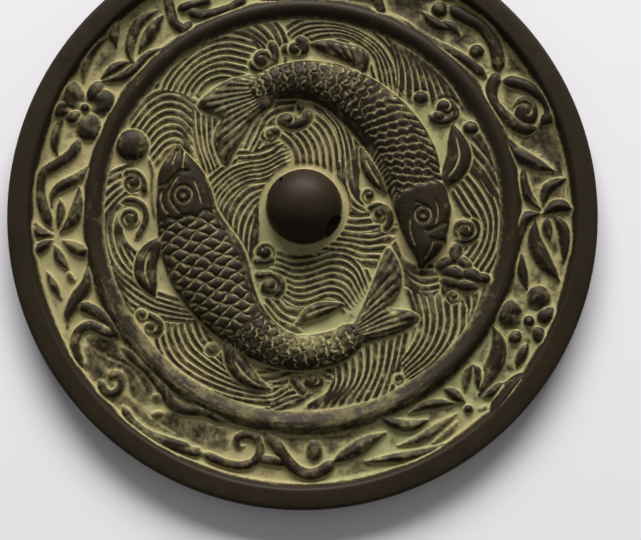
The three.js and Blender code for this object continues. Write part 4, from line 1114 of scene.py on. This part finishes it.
def feed(tree, made, inputs):
    """Feeds a node's inputs: the output of another node is linked, and a value is set."""
    for key, value in inputs.items():
        if isinstance(value, bpy.types.NodeSocket):
            tree.links.new(value, made.inputs[key])
        else:
            made.inputs[key].default_value = value


def node(tree, kind, inputs, **settings):
    """Adds a node with its settings and feeds its inputs."""
    made = tree.nodes.new(kind)
    for key, value in settings.items():
        setattr(made, key, value)
    feed(tree, made, inputs)
    return made


def new_material(name):
    material = bpy.data.materials.new(name)
    material.use_nodes = True
    return material, material.node_tree, material.node_tree.nodes["Principled BSDF"]


def patinated_bronze():
    """Cast tin bronze under a black-brown patina that is half matt, with a faint sheen on
    the high parts, and with dull, pale olive verdigris and polishing dust in the hollows."""
    material, tree, shader = new_material("patinated_bronze")
    # This attribute carries verdigris and dust, and also painted light: the bare, dark cord hole and the
    # paler lower side of the ring.
    paste_and_painted_light = node(tree, "ShaderNodeAttribute", {}, attribute_name="paste_and_painted_light").outputs["Fac"]
    spot = node(tree, "ShaderNodeTexCoord", {}).outputs["Object"]
    grit, cloud, stain = [
        node(tree, "ShaderNodeTexNoise", {"Vector": spot, "Scale": 1 / (size * MM), "Detail": detail,
                                          "Roughness": rough}).outputs["Fac"]
        for size, detail, rough in ((GRIT_SIZE, 6, 0.65), (CLOUD_SIZE, 5, 0.6), (STAIN_SIZE, 3, 0.5))]

    # The grit frays the edge of the verdigris. A little of it is an olive film, and more is a crust.
    fray = node(tree, "ShaderNodeMapRange", {"Value": grit, "From Min": 0.25, "From Max": 0.75,
                                             "To Min": -0.22, "To Max": 0.22}).outputs["Result"]
    frayed = node(tree, "ShaderNodeMath", {0: paste_and_painted_light, 1: fray}, operation="ADD").outputs[0]
    cover = node(tree, "ShaderNodeMapRange", {"Value": frayed, "From Min": 0.1,
                                              "From Max": 0.85}).outputs["Result"]
    film = node(tree, "ShaderNodeMapRange", {"Value": cover, "From Max": 0.5},
                interpolation_type="SMOOTHSTEP").outputs["Result"]
    crust = node(tree, "ShaderNodeMapRange", {"Value": cover, "From Min": 0.4},
                 interpolation_type="SMOOTHSTEP").outputs["Result"]
    greener = node(tree, "ShaderNodeMapRange", {"Value": stain, "From Min": 0.42,
                                                "From Max": 0.66}).outputs["Result"]

    colour, olive, dust, green = [
        node(tree, "ShaderNodeMix", {"Factor": cloud, MIX_FIRST: linear(deep), MIX_SECOND: linear(light)},
             data_type="RGBA").outputs[MIX_RESULT]
        for deep, light in (("#1f1910", "#302719"), ("#4f4730", "#6a6143"),
                            ("#8d8259", "#aca072"), ("#87865a", "#a3a172"))]
    verdigris = node(tree, "ShaderNodeMix", {"Factor": greener, MIX_FIRST: dust, MIX_SECOND: green},
                     data_type="RGBA").outputs[MIX_RESULT]
    for share, coat in ((film, olive), (crust, verdigris)):
        colour = node(tree, "ShaderNodeMix", {"Factor": share, MIX_FIRST: colour, MIX_SECOND: coat},
                      data_type="RGBA").outputs[MIX_RESULT]

    rough, metal = [
        node(tree, "ShaderNodeMapRange", {"Value": cover, "To Min": bare,
                                          "To Max": covered}).outputs["Result"]
        for bare, covered in ((0.52, 0.9), (0.1, 0))]
    skin = node(tree, "ShaderNodeBump", {"Height": grit, "Strength": 0.25, "Distance": 0.0003})
    feed(tree, shader, {"Base Color": colour, "Roughness": rough, "Metallic": metal,
                        "Specular IOR Level": 0.14, "Normal": skin.outputs["Normal"]})
    return material


def pale_paper():
    """Uncoated paper, pressed smooth: it takes soft shadows and mirrors nothing."""
    material, tree, shader = new_material("pale_paper")
    feed(tree, shader, {"Base Color": linear("#e6e4e7"), "Roughness": 0.9})
    return material


# ---- floor, light and camera --------------------------------------------------------------------

FLOOR_DROP = 0.02                # the floor lies a hair under the mirror face
WINDOW_PLACE = (60, 1900, 950)   # high and far beyond the drawing's upper edge
VIEW_CENTRE = (4.573, -14.1)
VIEW_DISTANCE = 480
VIEW_TILT = math.radians(6)


def over_drawing(u, v, w):
    """A point at a height over the drawing, in metres and in the part's own frame."""
    x, y = to_part(u, v)
    return Vector((x * MM, y * MM, w * MM))


def aimed(name, data, eye, target, up):
    """Adds a lamp or a camera that looks from one point to another."""
    thing = bpy.data.objects.new(name, data)
    bpy.context.scene.collection.objects.link(thing)
    forward = (target - eye).normalized()
    side = forward.cross(up).normalized()
    matrix = thing.matrix_world.to_3x3()
    matrix.col[0], matrix.col[1], matrix.col[2] = side, side.cross(forward), -forward
    thing.matrix_world = matrix.to_4x4()
    thing.location = eye
    return thing


def studio():
    """A paper floor in a dim white room, lit by one wide window."""
    bpy.ops.object.select_all(action="DESELECT")
    bpy.ops.mesh.primitive_plane_add(size=3, location=(0, 0, -FLOOR_DROP * MM))
    floor = added("floor")
    floor.data.materials.append(pale_paper())

    world = bpy.data.worlds.new("room")
    bpy.context.scene.world = world
    world.use_nodes = True
    feed(world.node_tree, world.node_tree.nodes["Background"], {"Color": linear("#ffffff"), "Strength": 0.2})

    lamp = bpy.data.lights.new("window", "AREA")
    lamp.shape = "RECTANGLE"
    lamp.size, lamp.size_y = 2.0, 0.7
    lamp.energy = 96
    aimed("window", lamp, over_drawing(*WINDOW_PLACE), over_drawing(0, 0, 0), Vector((0, 0, 1)))


def camera():
    """A camera over the lower part of the drawing, tilted a little."""
    lens = bpy.data.cameras.new("camera")
    lens.sensor_width = 36
    lens.lens = 105.5
    lens.clip_start = 0.01
    target = over_drawing(*VIEW_CENTRE, 0)
    offset = over_drawing(0, -VIEW_DISTANCE * math.sin(VIEW_TILT), VIEW_DISTANCE * math.cos(VIEW_TILT))
    bpy.context.scene.camera = aimed("camera", lens, target + offset, target, over_drawing(0, 1, 0))
    bpy.context.scene.view_settings.view_transform = "Standard"


# ---- assembly ---------------------------------------------------------------------------------------

camera()
studio()
mirror = casting()
mirror.data.materials.clear()
mirror.data.materials.append(patinated_bronze())
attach(mirror, "root")
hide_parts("mirror")
